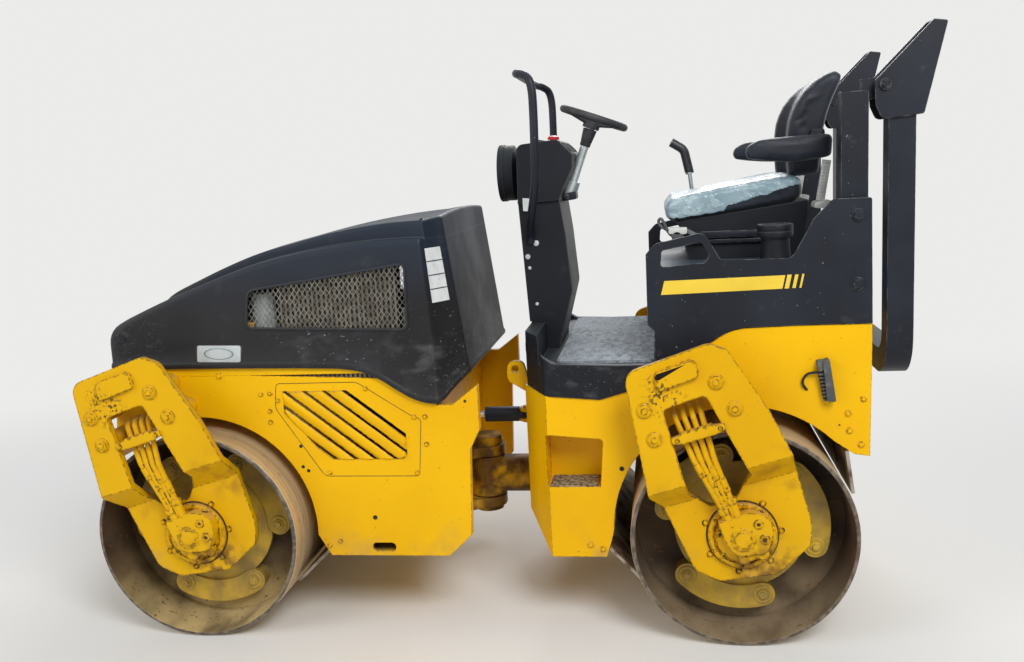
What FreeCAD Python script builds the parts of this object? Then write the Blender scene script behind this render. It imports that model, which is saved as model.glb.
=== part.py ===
import FreeCAD, Part
import math
import os
from FreeCAD import Placement, Rotation, Vector

# Articulated tandem road roller. Millimetres, +X towards the rear, +Y to the operator's right, +Z up.
# Every x below is measured from the steering pivot, which lies midway between the two drums.
# "origin_shift" then moves the whole machine so that the frame's origin is under the middle of its box.

doc = FreeCAD.newDocument("road_roller")
sheet = doc.addObject("Spreadsheet::Sheet", "Sizes")

# Driving sizes: name, value.
SIZES = [
    ("wheelbase", 1800),
    ("drum_radius", 350),
    ("drum_width", 1200),
    ("drum_wall", 14),
    ("rim_bevel", 5),
    ("frame_width", 1010),
    ("frame_wall", 10),
    ("frame_bottom", 256),
    ("front_arch_gap", 44),
    ("rear_arch_gap", 55),
    ("rear_frame_nose", 205),
    ("rear_frame_end", 1297),
    ("deck_height", 893),
    ("mat_thickness", 9),
    ("tank_front", 642),
    ("tank_top", 1190),
    ("tank_floor", 1005),
    ("panel_plate", 8),
    ("panel_seat", 3),
    ("panel_top", 1386),
    ("front_frame_top", 900),
    ("front_frame_end", 69),
    ("rear_recess", 95),
    ("recess_width", 940),
    ("hood_width", 1032),
    ("hood_wall", 6),
    ("hood_round", 26),
    ("dome_width", 660),
    ("lip_proud", 5),
    ("lip_height", 15),
    ("lip_sunk", 2),
    ("grille_pitch", 18),
    ("grille_wire", 2),
    ("grille_rim", 10),
    ("hood_hinge_x", -1134),
    ("hood_hinge_z", 1018),
    ("hinge_pin_radius", 10),
    ("hinge_inset", 61),
    ("hinge_eye", 22),
    ("fork_plate", 24),
    ("fork_reach", 150),
    ("hose_depth", 23),
    ("fork_step", 70),
    ("fork_boss_radius", 32),
    ("motor_flange_radius", 108),
    ("shaft_radius", 60),
    ("running_fit", 0.05),
    ("carrier_plate", 14),
    ("carrier_ring", 242),
    ("carrier_arm", 78),
    ("carrier_span", 62),
    ("carrier_inset", 130),
    ("web_inset", 196),
    ("web_plate", 12),
    ("buffer_radius", 34),
    ("pivot_pin_radius", 35),
    ("pivot_height", 388),
    ("knuckle_radius", 66),
    ("knuckle_length", 150),
    ("lug_plate", 36),
    ("tube_radius", 70),
    ("cylinder_offset", 140),
    ("cylinder_height", 650),
    ("cylinder_rear_pin", 176),
    ("front_pin_reach", 30),
    ("barrel_radius", 27),
    ("barrel_bore", 20),
    ("rod_radius", 12),
    ("pin_radius", 12),
    ("eye_radius", 26),
    ("eye_width", 20),
    ("eye_drift", 5.6),
    ("barrel_length", 149),
    ("piston_set_back", 83),
    ("post_width", 60),
    ("post_depth", 79),
    ("post_front", 1208),
    ("post_top", 1698),
    ("hoop_pivot_x", 1329),
    ("hoop_pivot_z", 1712),
    ("hoop_half_width", 495),
    ("hoop_plate", 10),
    ("hoop_clearance", 7),
    ("hoop_front", 1342),
    ("hoop_depth", 78),
    ("hoop_bottom", 828),
    ("hoop_bend", 130),
    ("hoop_reach", 1502),
    ("wheel_rim_radius", 112),
    ("rim_tube_radius", 13),
    ("column_radius", 15),
    ("column_length", 232),
    ("column_tilt", 20.5),
    ("rail_radius", 14),
    ("rail_half_width", 317),
    ("rail_top", 1836),
    ("lamp_radius", 98),
    ("seat_width", 480),
    ("neck_radius", 53),
    ("neck_inset", 95),
    ("tow_eye_bore", 13),
    ("tow_eye_plate", 20),
    ("tow_eye_offset", 250),
    ("hose_radius", 9),
    ("scraper_plate", 10),
    ("scraper_gap", 8),
]
for row, (alias, size) in enumerate(SIZES, start=1):
    sheet.set("A%d" % row, alias)
    sheet.set("B%d" % row, str(size))
    sheet.setAlias("B%d" % row, alias)
doc.recompute()


def size(alias):
    """The value of one cell of the sheet."""
    return float(sheet.get(alias))


front_axle = -size("wheelbase") / 2
rear_axle = size("wheelbase") / 2
axle_height = size("drum_radius")
half_frame = size("frame_width") / 2
half_hood = size("hood_width") / 2
half_drum = size("drum_width") / 2
fork_face = half_frame + size("fork_reach")
front_reach = front_axle - size("drum_radius")
origin_shift = -(front_reach + size("hoop_reach")) / 2
machine = Placement(Vector(origin_shift, 0, 0), Rotation())


def corner(before, at, after, radius):
    """Start, middle and end of the arc that rounds one corner of a line."""
    back = (before - at).normalize()
    ahead = (after - at).normalize()
    half_angle = back.getAngle(ahead) / 2
    reach = radius / math.tan(half_angle)
    bisector = (back + ahead).normalize()
    centre = at + bisector * (radius / math.sin(half_angle))
    return at + back * reach, centre - bisector * radius, at + ahead * reach


def line_edges(points, closed):
    """Straight and round edges through points; a point is a vector, or a vector and its corner radius."""
    places = [p[0] if isinstance(p, tuple) else p for p in points]
    radii = [p[1] if isinstance(p, tuple) else 0 for p in points]
    count = len(places)
    stations = []
    for i in range(count):
        inner = closed or 0 < i < count - 1
        if radii[i] > 0 and inner:
            stations.append(corner(places[i - 1], places[i], places[(i + 1) % count], radii[i]))
        else:
            stations.append((places[i], None, places[i]))
    edges = []
    for i, (start, middle, end) in enumerate(stations):
        if middle is not None:
            edges.append(Part.Arc(start, middle, end))
        if closed or i < count - 1:
            following = stations[(i + 1) % count][0]
            if (following - end).Length > 1e-6:
                edges.append(Part.LineSegment(end, following))
    return edges


def flat(points):
    """Points given as (across, up) or (across, up, corner radius), as vectors in a sketch's plane."""
    return [(Vector(p[0], p[1], 0), p[2]) if len(p) == 3 else Vector(p[0], p[1], 0) for p in points]


def loop(*points):
    """A closed outline from (across, up, corner radius) points."""
    return line_edges(flat(points), True)


def circle(across, up, radius):
    """A round outline."""
    return [Part.Circle(Vector(across, up, 0), Vector(0, 0, 1), radius)]


def face_of(outlines):
    """A flat face in the XY plane: the first outline, with the others as holes."""
    wires = [Part.Wire([edge.toShape() for edge in outline]) for outline in outlines]
    face = Part.Face(wires[0])
    for wire in wires[1:]:
        face = face.cut(Part.Face(wire))
    return face


STAND_UP = Rotation(Vector(1, 0, 0), 90)
FACE_FRONT = Rotation(Vector(1, 1, 1), 120)


def along_y(outlines, start, end):
    """Outlines in x and z, extruded from y = start to y = end."""
    solid = face_of(outlines).extrude(Vector(0, 0, end - start))
    solid.Placement = Placement(Vector(0, end, 0), STAND_UP)
    return solid


def along_x(outlines, start, end):
    """Outlines in y and z, extruded from x = start to x = end."""
    solid = face_of(outlines).extrude(Vector(0, 0, end - start))
    solid.Placement = Placement(Vector(start, 0, 0), FACE_FRONT)
    return solid


def along_z(outlines, start, end):
    """Outlines in x and y, extruded from z = start to z = end."""
    solid = face_of(outlines).extrude(Vector(0, 0, end - start))
    solid.Placement = Placement(Vector(0, 0, start), Rotation())
    return solid


def block(x0, x1, y0, y1, z0, z1):
    """A plain block between two corners."""
    return Part.makeBox(x1 - x0, y1 - y0, z1 - z0, Vector(x0, y0, z0))


def rod(start, end, radius):
    """A round bar from one point to another."""
    return Part.makeCylinder(radius, (end - start).Length, start, end - start)


def bent_tube(points, radius):
    """A round tube along straight runs joined by tangent arcs."""
    path = Part.Wire([edge.toShape() for edge in line_edges(points, False)])
    first = path.OrderedEdges[0]
    start = first.valueAt(first.FirstParameter)
    section = Part.Wire([Part.makeCircle(radius, start, first.tangentAt(first.FirstParameter))])
    return path.makePipeShell([section], True, True)


def mirrored(shape):
    """The same shape on the other side of the machine."""
    return shape.mirror(Vector(0, 0, 0), Vector(0, 1, 0))


def joined(shapes):
    """One solid from several that touch or overlap."""
    return shapes[0].multiFuse(shapes[1:]).removeSplitter()


NODES = []


def feature(label, shape):
    """A sub-part whose shape is made directly."""
    item = doc.addObject("Part::Feature", label)
    item.Label = label
    item.Shape = shape
    item.Placement = machine.multiply(shape.Placement)
    NODES.append(item)
    return item


def pair(label, shape):
    """A sub-part with one solid on each side of the machine."""
    return feature(label, Part.makeCompound([shape, mirrored(shape)]))


def plate(label, outlines, start, length):
    """A body padded from a sketch in x and z, towards the left side, from a distance off the middle."""
    item = doc.addObject("PartDesign::Body", label)
    item.Label = label
    drawing = item.newObject("Sketcher::SketchObject", label + "_outline")
    plane = [f for f in item.Origin.OriginFeatures if f.Role == "XZ_Plane"][0]
    drawing.AttachmentSupport = (plane, "")
    drawing.MapMode = "FlatFace"
    for outline in outlines:
        drawing.addGeometry(outline, False)
    drawing.setExpression("AttachmentOffset.Base.z", start)
    pad = item.newObject("PartDesign::Pad", label + "_pad")
    pad.Profile = drawing
    pad.setExpression("Length", length)
    item.Tip = pad
    item.Placement = machine
    NODES.append(item)
    return item


def turned(label, profile, x, z):
    """A body turned about the machine's cross axis from a sketch in y and radius."""
    item = doc.addObject("PartDesign::Body", label)
    item.Label = label
    drawing = item.newObject("Sketcher::SketchObject", label + "_profile")
    plane = [f for f in item.Origin.OriginFeatures if f.Role == "XY_Plane"][0]
    drawing.AttachmentSupport = (plane, "")
    drawing.MapMode = "FlatFace"
    for outline in profile:
        drawing.addGeometry(outline, False)
    turn = item.newObject("PartDesign::Revolution", label + "_turn")
    turn.Profile = drawing
    turn.ReferenceAxis = (drawing, ["V_Axis"])
    turn.Angle = 360
    item.Tip = turn
    item.Placement = Placement(Vector(origin_shift + x, 0, z), Rotation())
    NODES.append(item)
    return item


# Rear frame: a welded box with the wheel arch, a swept front and a step pocket in each side.
rear_arch = size("drum_radius") + size("rear_arch_gap")
nose = size("rear_frame_nose")
rear_end = size("rear_frame_end")
bottom = size("frame_bottom")
deck = size("deck_height")
tank_floor = size("tank_floor")


def arch_point(axle, radius, degrees):
    """A point on a wheel arch, at an angle up from the rear."""
    angle = math.radians(degrees)
    return Vector(axle + radius * math.cos(angle), axle_height + radius * math.sin(angle), 0)


def arch_arc(axle, radius, start, end):
    """The arc of a wheel arch between two angles."""
    middle = (start + end) / 2
    return Part.Arc(*[arch_point(axle, radius, a) for a in (start, middle, end)])


def run(*points):
    """Straight edges through points in a sketch's plane."""
    return line_edges([p if isinstance(p, Vector) else Vector(p[0], p[1], 0) for p in points], False)


rear_outline = [arch_arc(rear_axle, rear_arch, 180, 46)]
rear_outline += run(arch_point(rear_axle, rear_arch, 46), (rear_end - 53, 597), (rear_end - 5, 590),
                    (rear_end, tank_floor), (1070, tank_floor))
rear_outline += line_edges(flat([(1070, tank_floor), (880, 1000, 160), (600, 822, 60), (465, 783),
                                 (nose, 803)]), False)
rear_outline += run((nose, 803), (nose, 372), (291, bottom), (468, bottom), (487, 314),
                    arch_point(rear_axle, rear_arch, 180))
sweep_start = 350
sweep_end = 290
swept_plan = [loop((nose, -sweep_start), (sweep_end, -half_frame), (rear_end, -half_frame),
                   (rear_end, half_frame), (sweep_end, half_frame), (nose, sweep_start))]
rear_shape = along_y([rear_outline], -half_frame, half_frame)
rear_shape = rear_shape.common(along_z(swept_plan, 0, 1200))
step_pocket = along_y([loop((285, 494), (457, 494), (469, 652, 12), (283, 668, 12))], -half_frame - 1, -380)
rear_shape = rear_shape.cut(step_pocket).cut(mirrored(step_pocket))
lug_span = size("eye_width") / 2 + 2
cyl_z = size("cylinder_height")
cyl_y = -size("cylinder_offset")
rear_pin = Vector(size("cylinder_rear_pin"), cyl_y, cyl_z)
recess = -size("rear_recess")
front_pin = Vector(recess + size("front_pin_reach"), cyl_y, cyl_z)


def cylinder_lug(pin, wall):
    """Two lug plates and the pin between them, reaching out from a wall to the pin."""
    width = size("eye_radius")
    pieces = [rod(pin - Vector(0, 0, 30), pin + Vector(0, 0, 30), size("pin_radius"))]
    for z0 in (cyl_z - lug_span - 12, cyl_z + lug_span):
        near, far = sorted((pin.x, wall))
        pieces.append(block(near, far, cyl_y - width, cyl_y + width, z0, z0 + 12))
        pieces.append(Part.makeCylinder(width, 12, Vector(pin.x, cyl_y, z0)))
    return pieces


rear_shape = joined([rear_shape] + cylinder_lug(rear_pin, nose))
feature("rear_frame", rear_shape)

# Front frame: two side plates round the open engine bay, with the arch, louvres and a recess at the joint.
front_arch = size("drum_radius") + size("front_arch_gap")
wall = size("frame_wall")
front_top = size("front_frame_top")
front_end = size("front_frame_end")
front_nose = -1192
shelf = 872
bay_arch = front_arch + wall
bay_start = arch_point(front_axle, bay_arch, 116)
shelf_end = bay_start.x
front_outline = [arch_arc(front_axle, front_arch, 141, -3)]
front_outline += run(arch_point(front_axle, front_arch, -3), (-464, bottom), (-55, bottom), (24, 330),
                     (34, 621), (front_end, 690), (front_end, 838), (-15, 774), (-68, 774), (-110, 860),
                   (-252, 866), (shelf_end, front_top),
                     (shelf_end, shelf), (front_nose, shelf), (front_nose, 740),
                     arch_point(front_axle, front_arch, 141))
front_shape = along_y([front_outline], -half_frame, half_frame)
bay = [arch_arc(front_axle, bay_arch, 116, -3)]
bay += run(arch_point(front_axle, bay_arch, -3), (-455, bottom + wall), (recess - wall, bottom + wall),
           (recess - wall, 1000), (bay_start.x, 1000), bay_start)
front_shape = front_shape.cut(along_y([bay], -half_frame + wall, half_frame - wall))
half_recess = size("recess_width") / 2
front_shape = front_shape.cut(block(recess, 200, -half_recess, half_recess, 0, 1200))


louvre_angle = math.radians(-38)
louvre_step = 68
louvre_half = 7
panel_window = along_y([loop((-590, 828), (-330, 828, 40), (-178, 700, 40), (-178, 592), (-452, 592),
                             (-590, 760))], -half_frame - 1, -half_frame + wall + 1)
slots = []
for index in range(11):
    along = Vector(math.cos(louvre_angle), math.sin(louvre_angle), 0)
    up = Vector(-along.y, along.x, 0) * louvre_half
    start = Vector(-860 + louvre_step * index, 830, 0)
    end = start + along * 500
    slots.append(along_y([line_edges([start - up, end - up, end + up, start + up], True)],
                         -half_frame - 1, -half_frame + wall + 1))
slot_cut = panel_window.common(Part.makeCompound(slots))
front_shape = front_shape.cut(slot_cut).cut(mirrored(slot_cut))
tie_down = along_y([loop((-318, 271, 14), (-238, 271, 14), (-238, 301, 14), (-318, 301, 14))],
                   -half_frame - 1, -half_frame + wall + 1)
front_shape = front_shape.cut(tie_down).cut(mirrored(tie_down))
front_shape = joined([front_shape] + cylinder_lug(front_pin, recess))
feature("front_frame", front_shape)

# Steering joint: the rear frame's tube and knuckle between the front frame's two lugs, on one upright pin.
pivot_z = size("pivot_height")
half_knuckle = size("knuckle_length") / 2
pivot_pin = size("pivot_pin_radius")
knuckle = Part.makeCylinder(size("knuckle_radius"), 2 * half_knuckle, Vector(0, 0, pivot_z - half_knuckle))
knuckle = joined([knuckle, rod(Vector(0, 0, pivot_z), Vector(nose, 0, pivot_z), size("tube_radius")),
                  rod(Vector(nose - 22, 0, pivot_z), Vector(nose, 0, pivot_z), size("tube_radius") + 25)])
knuckle = knuckle.cut(Part.makeCylinder(pivot_pin + size("running_fit"), 400, Vector(0, 0, pivot_z - 200)))
feature("steering_knuckle", knuckle)
lugs = []
lug = size("lug_plate")
lug_gap = half_knuckle + 5
for z0 in (pivot_z + lug_gap, pivot_z - lug_gap - lug):
    outline = loop((recess, -130), (0, -70), (66, -70, 60), (66, 70, 60), (0, 70), (recess, 130))
    lugs.append(along_z([outline], z0, z0 + lug))
pin_reach = lug_gap + lug
lugs.append(Part.makeCylinder(pivot_pin, 2 * pin_reach + 24, Vector(0, 0, pivot_z - pin_reach - 12)))
lugs.append(Part.makeCylinder(58, 34, Vector(0, 0, pivot_z + pin_reach)))
lugs.append(Part.makeCylinder(52, 20, Vector(0, 0, pivot_z - pin_reach - 20)))
feature("steering_lugs", joined(lugs))

# Steering cylinder: a hollow barrel on the rear frame's pin, and the piston rod that turns the front frame.
eye = size("eye_radius")
eye_half = size("eye_width") / 2
barrel_end = rear_pin.x - size("barrel_length")
barrel_foot = Vector(rear_pin.x - 15, cyl_y, cyl_z)
bore_foot = Vector(rear_pin.x - 27, cyl_y, cyl_z)
barrel = joined([rod(barrel_foot, Vector(barrel_end, cyl_y, cyl_z), size("barrel_radius")),
                 Part.makeCylinder(eye, 2 * eye_half, Vector(rear_pin.x, cyl_y, cyl_z - eye_half))])
barrel = barrel.cut(rod(bore_foot, Vector(barrel_end + 10, cyl_y, cyl_z), size("barrel_bore")))
barrel = barrel.cut(rod(bore_foot, Vector(barrel_end - 1, cyl_y, cyl_z),
                        size("rod_radius") + size("running_fit")))
for z0, z1 in ((cyl_z + eye_half, cyl_z + 40), (cyl_z - 40, cyl_z - eye_half)):
    barrel = barrel.cut(block(rear_pin.x - eye - 1, rear_pin.x + 30, cyl_y - 40, cyl_y + 40, z0, z1))
barrel = barrel.cut(Part.makeCylinder(size("pin_radius") + size("running_fit"), 80,
                                      rear_pin - Vector(0, 0, 40)))
feature("cylinder_barrel", barrel)
piston_x = rear_pin.x - size("piston_set_back")
piston = joined([rod(Vector(piston_x, cyl_y, cyl_z), front_pin + Vector(eye - 4, 0, 0), size("rod_radius")),
                 rod(Vector(piston_x + 5, cyl_y, cyl_z), Vector(piston_x - 5, cyl_y, cyl_z),
                     size("barrel_bore") - size("running_fit")),
                 Part.makeCylinder(eye, 2 * eye_half, front_pin - Vector(0, 0, eye_half))])
piston = piston.cut(Part.makeCylinder(size("pin_radius") + size("eye_drift"), 80,
                                      front_pin - Vector(0, 0, 40)))
feature("cylinder_rod", piston)

# Drums: a plain rolled shell with bevelled rims, two inner webs, and the driven carrier on rubber buffers.
drum_radius = size("drum_radius")
drum_inner = drum_radius - size("drum_wall")
bevel = size("rim_bevel")
web_y = half_drum - size("web_inset")
web = size("web_plate")
carrier_y = half_drum - size("carrier_inset")
carrier = size("carrier_plate")
shaft = size("shaft_radius")
ring_radius = size("carrier_ring")
ring_half = size("carrier_arm") / 2
half_span = size("carrier_span") / 2
CARRIER_TURN = {"front": 32, "rear": 15}


def crescent(axle_x, turn):
    """A carrier arm: an arc-shaped plate with round ends, one buffer under each end."""
    low = turn - half_span
    high = turn + half_span
    tip = half_span + math.degrees(ring_half / ring_radius)
    outline = [arch_arc(axle_x, ring_radius + ring_half, low, high),
               Part.Arc(arch_point(axle_x, ring_radius + ring_half, high),
                        arch_point(axle_x, ring_radius, turn + tip),
                        arch_point(axle_x, ring_radius - ring_half, high)),
               arch_arc(axle_x, ring_radius - ring_half, high, low),
               Part.Arc(arch_point(axle_x, ring_radius - ring_half, low),
                        arch_point(axle_x, ring_radius, turn - tip),
                        arch_point(axle_x, ring_radius + ring_half, low))]
    return along_y([outline], -carrier_y, -carrier_y + carrier)


for axle_name, axle_x in (("front", front_axle), ("rear", rear_axle)):
    ring = loop((drum_inner, -half_drum), (drum_radius - bevel, -half_drum),
                (drum_radius, -half_drum + bevel),
                (drum_radius, half_drum - bevel), (drum_radius - bevel, half_drum), (drum_inner, half_drum),
                (drum_inner, web_y), (150, web_y), (150, web_y - web), (drum_inner, web_y - web),
                (drum_inner, -web_y + web), (150, -web_y + web), (150, -web_y), (drum_inner, -web_y))
    turned("drum_" + axle_name, [ring], axle_x, axle_height)
    centre = Vector(axle_x, -carrier_y, axle_height)
    hub = [along_y([circle(axle_x, axle_height, ring_radius - 30)], carrier - carrier_y,
                   2 * carrier - carrier_y),
           rod(centre + Vector(0, carrier, 0), centre + Vector(0, 60, 0), 95)]
    for lobe in range(3):
        turn = CARRIER_TURN[axle_name] + 120 * lobe
        hub.append(crescent(axle_x, turn))
        for end in (turn - half_span, turn + half_span):
            foot = arch_point(axle_x, ring_radius, end)
            seat = Vector(foot.x, -carrier_y + carrier, foot.y)
            hub.append(rod(seat, Vector(foot.x, -web_y, foot.y), size("buffer_radius")))
    hub = joined(hub)
    hub = hub.cut(rod(centre - Vector(0, 5, 0), centre + Vector(0, 80, 0), shaft + size("running_fit")))
    pair("drum_carrier_" + axle_name, hub)

# Forks: one thick plate for each end of a drum, stepped inwards to the hub, held off the frame by bosses.
plate_t = size("fork_plate")
step_in = size("fork_step")
crease_angle = math.radians(16)


def fork(axle_x):
    """The left fork plate of one axle, with its window and bosses."""
    outline = loop((-346, 500), (-352, 545, 45), (-100, 632, 40), (-45, 612, 40), (75, 425, 30), (142, 290),
                   (205, 60, 30), (205, -20, 40), (100, -115, 40), (-75, -140, 40), (-150, -105, 50),
                   (-245, 105, 30), (-288, 150))
    window = loop((-240, 432, 18), (-112, 476, 18), (22, 222, 20), (-20, 130, 40), (-100, 105, 40),
                  (-165, 150, 20))
    outlines = [outline, window]
    along = Vector(math.cos(crease_angle), 0, math.sin(crease_angle))
    across = Vector(-math.sin(crease_angle), 0, math.cos(crease_angle))
    crease = Vector(-70, 0, 225)
    outer = -fork_face
    profile = [(outer, 700), (outer, 0), (outer + step_in, -step_in), (outer + step_in, -700),
               (outer + step_in + plate_t, -700), (outer + step_in + plate_t, -step_in + 10),
               (outer + plate_t, 10), (outer + plate_t, 700)]
    section = profile + profile[:1]
    wire = Part.makePolygon([crease + Vector(0, y, 0) + across * w - along * 800 for y, w in section])
    sheet_metal = Part.Face(wire).extrude(along * 1600)
    solid = sheet_metal.common(along_y(outlines, outer - 5, outer + step_in + plate_t + 5))
    solid.translate(Vector(axle_x, 0, axle_height))
    pieces = [solid]
    for x, z in ((-80, 516), (-26, 434), (-294, 431), (-266, 340)):
        place = Vector(axle_x + x, 0, axle_height + z)
        pieces.append(rod(place - Vector(0, fork_face - plate_t, 0), place - Vector(0, half_frame, 0),
                          size("fork_boss_radius")))
        pieces.append(rod(place - Vector(0, fork_face + 8, 0), place - Vector(0, fork_face, 0), 20))
    pieces.append(along_y([loop((-255, 490, 10), (-130, 534, 10), (-142, 590, 20), (-262, 548, 20))],
                          outer - 14, outer).translated(Vector(axle_x, 0, axle_height)))
    return joined(pieces)


def motor(axle_x):
    """The left hub motor: its flange and cover outside the fork, its shaft inside."""
    plate_out = -fork_face + step_in
    plate_in = plate_out + plate_t
    centre = Vector(axle_x, 0, axle_height)
    pieces = [rod(centre + Vector(0, plate_out - 18, 0), centre + Vector(0, plate_out, 0),
                  size("motor_flange_radius")),
              rod(centre + Vector(-12, plate_out - 70, 0), centre + Vector(-12, plate_out - 18, 0), 72)]
    pieces.append(along_y([loop((-95, -70, 10), (40, -95, 10), (75, 20, 10), (-50, 75, 10))],
                          plate_out - 55, plate_out - 18).translated(centre))
    outer = joined(pieces)
    inner = rod(centre + Vector(0, plate_in, 0), centre + Vector(0, -carrier_y + 55, 0), shaft)
    flange = rod(centre + Vector(0, plate_in, 0), centre + Vector(0, plate_in + 20, 0), 110)
    return [outer, joined([inner, flange])]


for axle_name, axle_x in (("front", front_axle), ("rear", rear_axle)):
    pair("fork_" + axle_name, fork(axle_x))
    halves = motor(axle_x)
    feature("motor_" + axle_name, Part.makeCompound(halves + [mirrored(half) for half in halves]))

# Hydraulic hoses: four on each fork, from the frame's window down to the hub motor.
hose_y = -fork_face + size("hose_depth")
for axle_name, axle_x in (("front", front_axle), ("rear", rear_axle)):
    hoses = []
    for index in range(4):
        shift = 26 * index
        foot = -60 + 0.45 * shift
        points = [(-205 + shift, -half_frame, 400 + 0.3 * shift),
                  (-205 + shift, hose_y + 32, 400 + 0.3 * shift),
                  (-150 + 0.8 * shift, hose_y, 270), (foot, hose_y, 100), (foot, hose_y + 12, 62)]
        route = [(Vector(axle_x + x, y, axle_height + z), 30) for x, y, z in points]
        hoses.append(bent_tube(route, size("hose_radius")))
    cover = motor(axle_x)[0]
    hoses = [hose.cut(cover) for hose in hoses]
    feature("hoses_" + axle_name, Part.makeCompound(hoses + [mirrored(hose) for hose in hoses]))

# Scrapers: a bar on brackets before and behind each drum.
def scraper(axle_x, at_degrees, length, lean):
    """A plate whose edge stands just off the drum."""
    angle = math.radians(at_degrees)
    reach = drum_radius + size("scraper_gap")
    edge = Vector(axle_x + reach * math.cos(angle), axle_height + reach * math.sin(angle), 0)
    along = Vector(math.cos(math.radians(lean)), math.sin(math.radians(lean)), 0)
    outward = Vector(math.cos(angle), math.sin(angle), 0)
    up = Vector(-along.y, along.x, 0)
    if up.dot(outward) < 0:
        up = -up
    corners = [edge, edge + along * length, edge + along * length + up * size("scraper_plate"),
               edge + up * size("scraper_plate")]
    return along_y([line_edges(corners, True)], -half_frame + 5, half_frame - 5)


feature("scraper_front", scraper(front_axle, -31, 158.6, 43))
rear_scrapers = [scraper(rear_axle, 209, 151.4, 133), scraper(rear_axle, 19, 140, 98)]
feature("scrapers_rear", Part.makeCompound(rear_scrapers))

# Hood: one moulded lid with a raised dome, swept rear corners and a window in each side.
dome_half = size("dome_width") / 2


def side_creases(body, y):
    """The long edges where the hood's sides turn into its top."""
    creases = []
    for edge in body.Edges:
        ends = [edge.valueAt(edge.FirstParameter), edge.valueAt(edge.LastParameter)]
        if edge.Length > 30 and all(abs(abs(p.y) - y) < 0.5 and p.z > 1040 and p.x < -40 for p in ends):
            creases.append(edge)
    return creases


def hood_plan(grow):
    """The hood seen from above, with its swept rear corners, grown outwards by a distance."""
    y = half_hood + grow
    return loop((-1198 - grow, -y + 150, 90), (-1147 - grow, -y, 60), (-54, -y), (112 + grow, -285, 30),
                (112 + grow, 285, 30), (-54, y), (-1147 - grow, y, 60), (-1198 - grow, y - 150, 90))


def lower_edge(rise):
    """The S-shaped part of the hood's lower edge, raised by a distance."""
    return [(-845, 917 + rise), (-308, 894 + rise, 60), (-182, 825 + rise, 60), (-51, 787 + rise)]


def hood_solid(inset):
    """The hood's outer form, or its inner one when it is drawn in by the wall."""
    below = 60 if inset else 0
    side = loop((-1198 + inset, 919 - below), *lower_edge(-below), (112 - inset, 928 - below),
                (88 - inset, 1306 - inset), (-70, 1313 - inset, 200), (-315, 1310 - inset, 400),
                (-659, 1243 - inset, 500), (-1122, 1079 - inset, 60), (-1190 + inset, 1017 - inset, 60))
    y = half_hood - inset
    body = along_y([side], -y, y).common(along_z([hood_plan(-inset)], 600, 1500))
    body = body.makeFillet(size("hood_round") - inset, side_creases(body, y))
    dome_side = loop((-1080 + 2 * inset, 1000), (-985 + 2 * inset, 1160), (-879, 1236 - inset, 200),
                     (-600, 1320 - inset, 400), (-320, 1364 - inset, 400), (60 - inset, 1396 - inset, 10),
                     (100 - inset, 1000))
    dome_plan = loop((-1080 + 2 * inset, -120, 80), (-400, -dome_half + inset, 100),
                     (-20, -dome_half + inset), (112 - inset, -285 + inset, 30),
                     (112 - inset, 285 - inset, 30), (-20, dome_half - inset),
                     (-400, dome_half - inset, 100), (-1080 + 2 * inset, 120, 80))
    dome = along_y([dome_side], -dome_half, dome_half).common(along_z([dome_plan], 900, 1500))
    return joined([body, dome])


def hood_lip(proud, height, sunk):
    """The rolled lip that stands out along the hood's lower edge, sunk into the wall and just below it."""
    band = loop((-1198 - proud, 919 - sunk), *lower_edge(-sunk), (112 + proud, 931 - sunk),
                (112 + proud, 931 + height), *reversed(lower_edge(height)), (-1198 - proud, 919 + height))
    outside = along_z([hood_plan(proud)], 600, 1500)
    inside = along_z([hood_plan(-sunk)], 600, 1500)
    y = half_hood + proud
    return along_y([band], -y, y).common(outside.cut(inside))


hood_shape = hood_solid(0).cut(hood_solid(size("hood_wall")))
hood_shape = joined([hood_shape, hood_lip(size("lip_proud"), size("lip_height"), size("lip_sunk"))])
window_points = ((-692, 1045, 20), (-677, 1170, 25), (-143, 1241, 25), (-147, 1027, 20))
hood_window = along_y([loop(*window_points)], -half_hood - 5, -half_hood + size("hood_wall") + 5)
hinge = Vector(size("hood_hinge_x"), 0, size("hood_hinge_z"))
hinge_hole = rod(hinge - Vector(0, 600, 0), hinge + Vector(0, 600, 0),
                 size("hinge_pin_radius") + size("running_fit"))
hood_shape = hood_shape.cut(hood_window).cut(mirrored(hood_window)).cut(hinge_hole)
feature("hood", hood_shape)
inner_face = -half_hood + size("hood_wall")
grille_rim = size("grille_rim")
rim_points = [(x + side * grille_rim, z + rise * grille_rim, radius) for (x, z, radius), (side, rise)
              in zip(window_points, ((-1, -1), (-1, 1), (1, 1), (1, -1)))]
wire_half = size("grille_wire") / 2
layers = []
for layer, slope in enumerate((55, -55)):
    start = inner_face + layer * (size("grille_wire") + 0.2)
    end = start + size("grille_wire")
    along = Vector(math.cos(math.radians(slope)), math.sin(math.radians(slope)), 0)
    across = Vector(-along.y, along.x, 0) * wire_half
    wires = []
    for index in range(int(900 / size("grille_pitch"))):
        middle = Vector(-870 + size("grille_pitch") * index, 1128, 0)
        near = middle - along * 260
        far = middle + along * 260
        wires.append(along_y([line_edges([near - across, far - across, far + across, near + across], True)],
                             start, end))
    rim = along_y([loop(*rim_points), loop(*window_points)], start, end)
    inside = along_y([loop(*rim_points)], start, end)
    layers.append(joined([rim] + inside.common(Part.makeCompound(wires)).Solids))
feature("hood_grilles", Part.makeCompound(layers + [mirrored(layer) for layer in layers]))
bracket_y = -half_hood + size("hinge_inset")
hinge_eye = size("hinge_eye")
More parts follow.
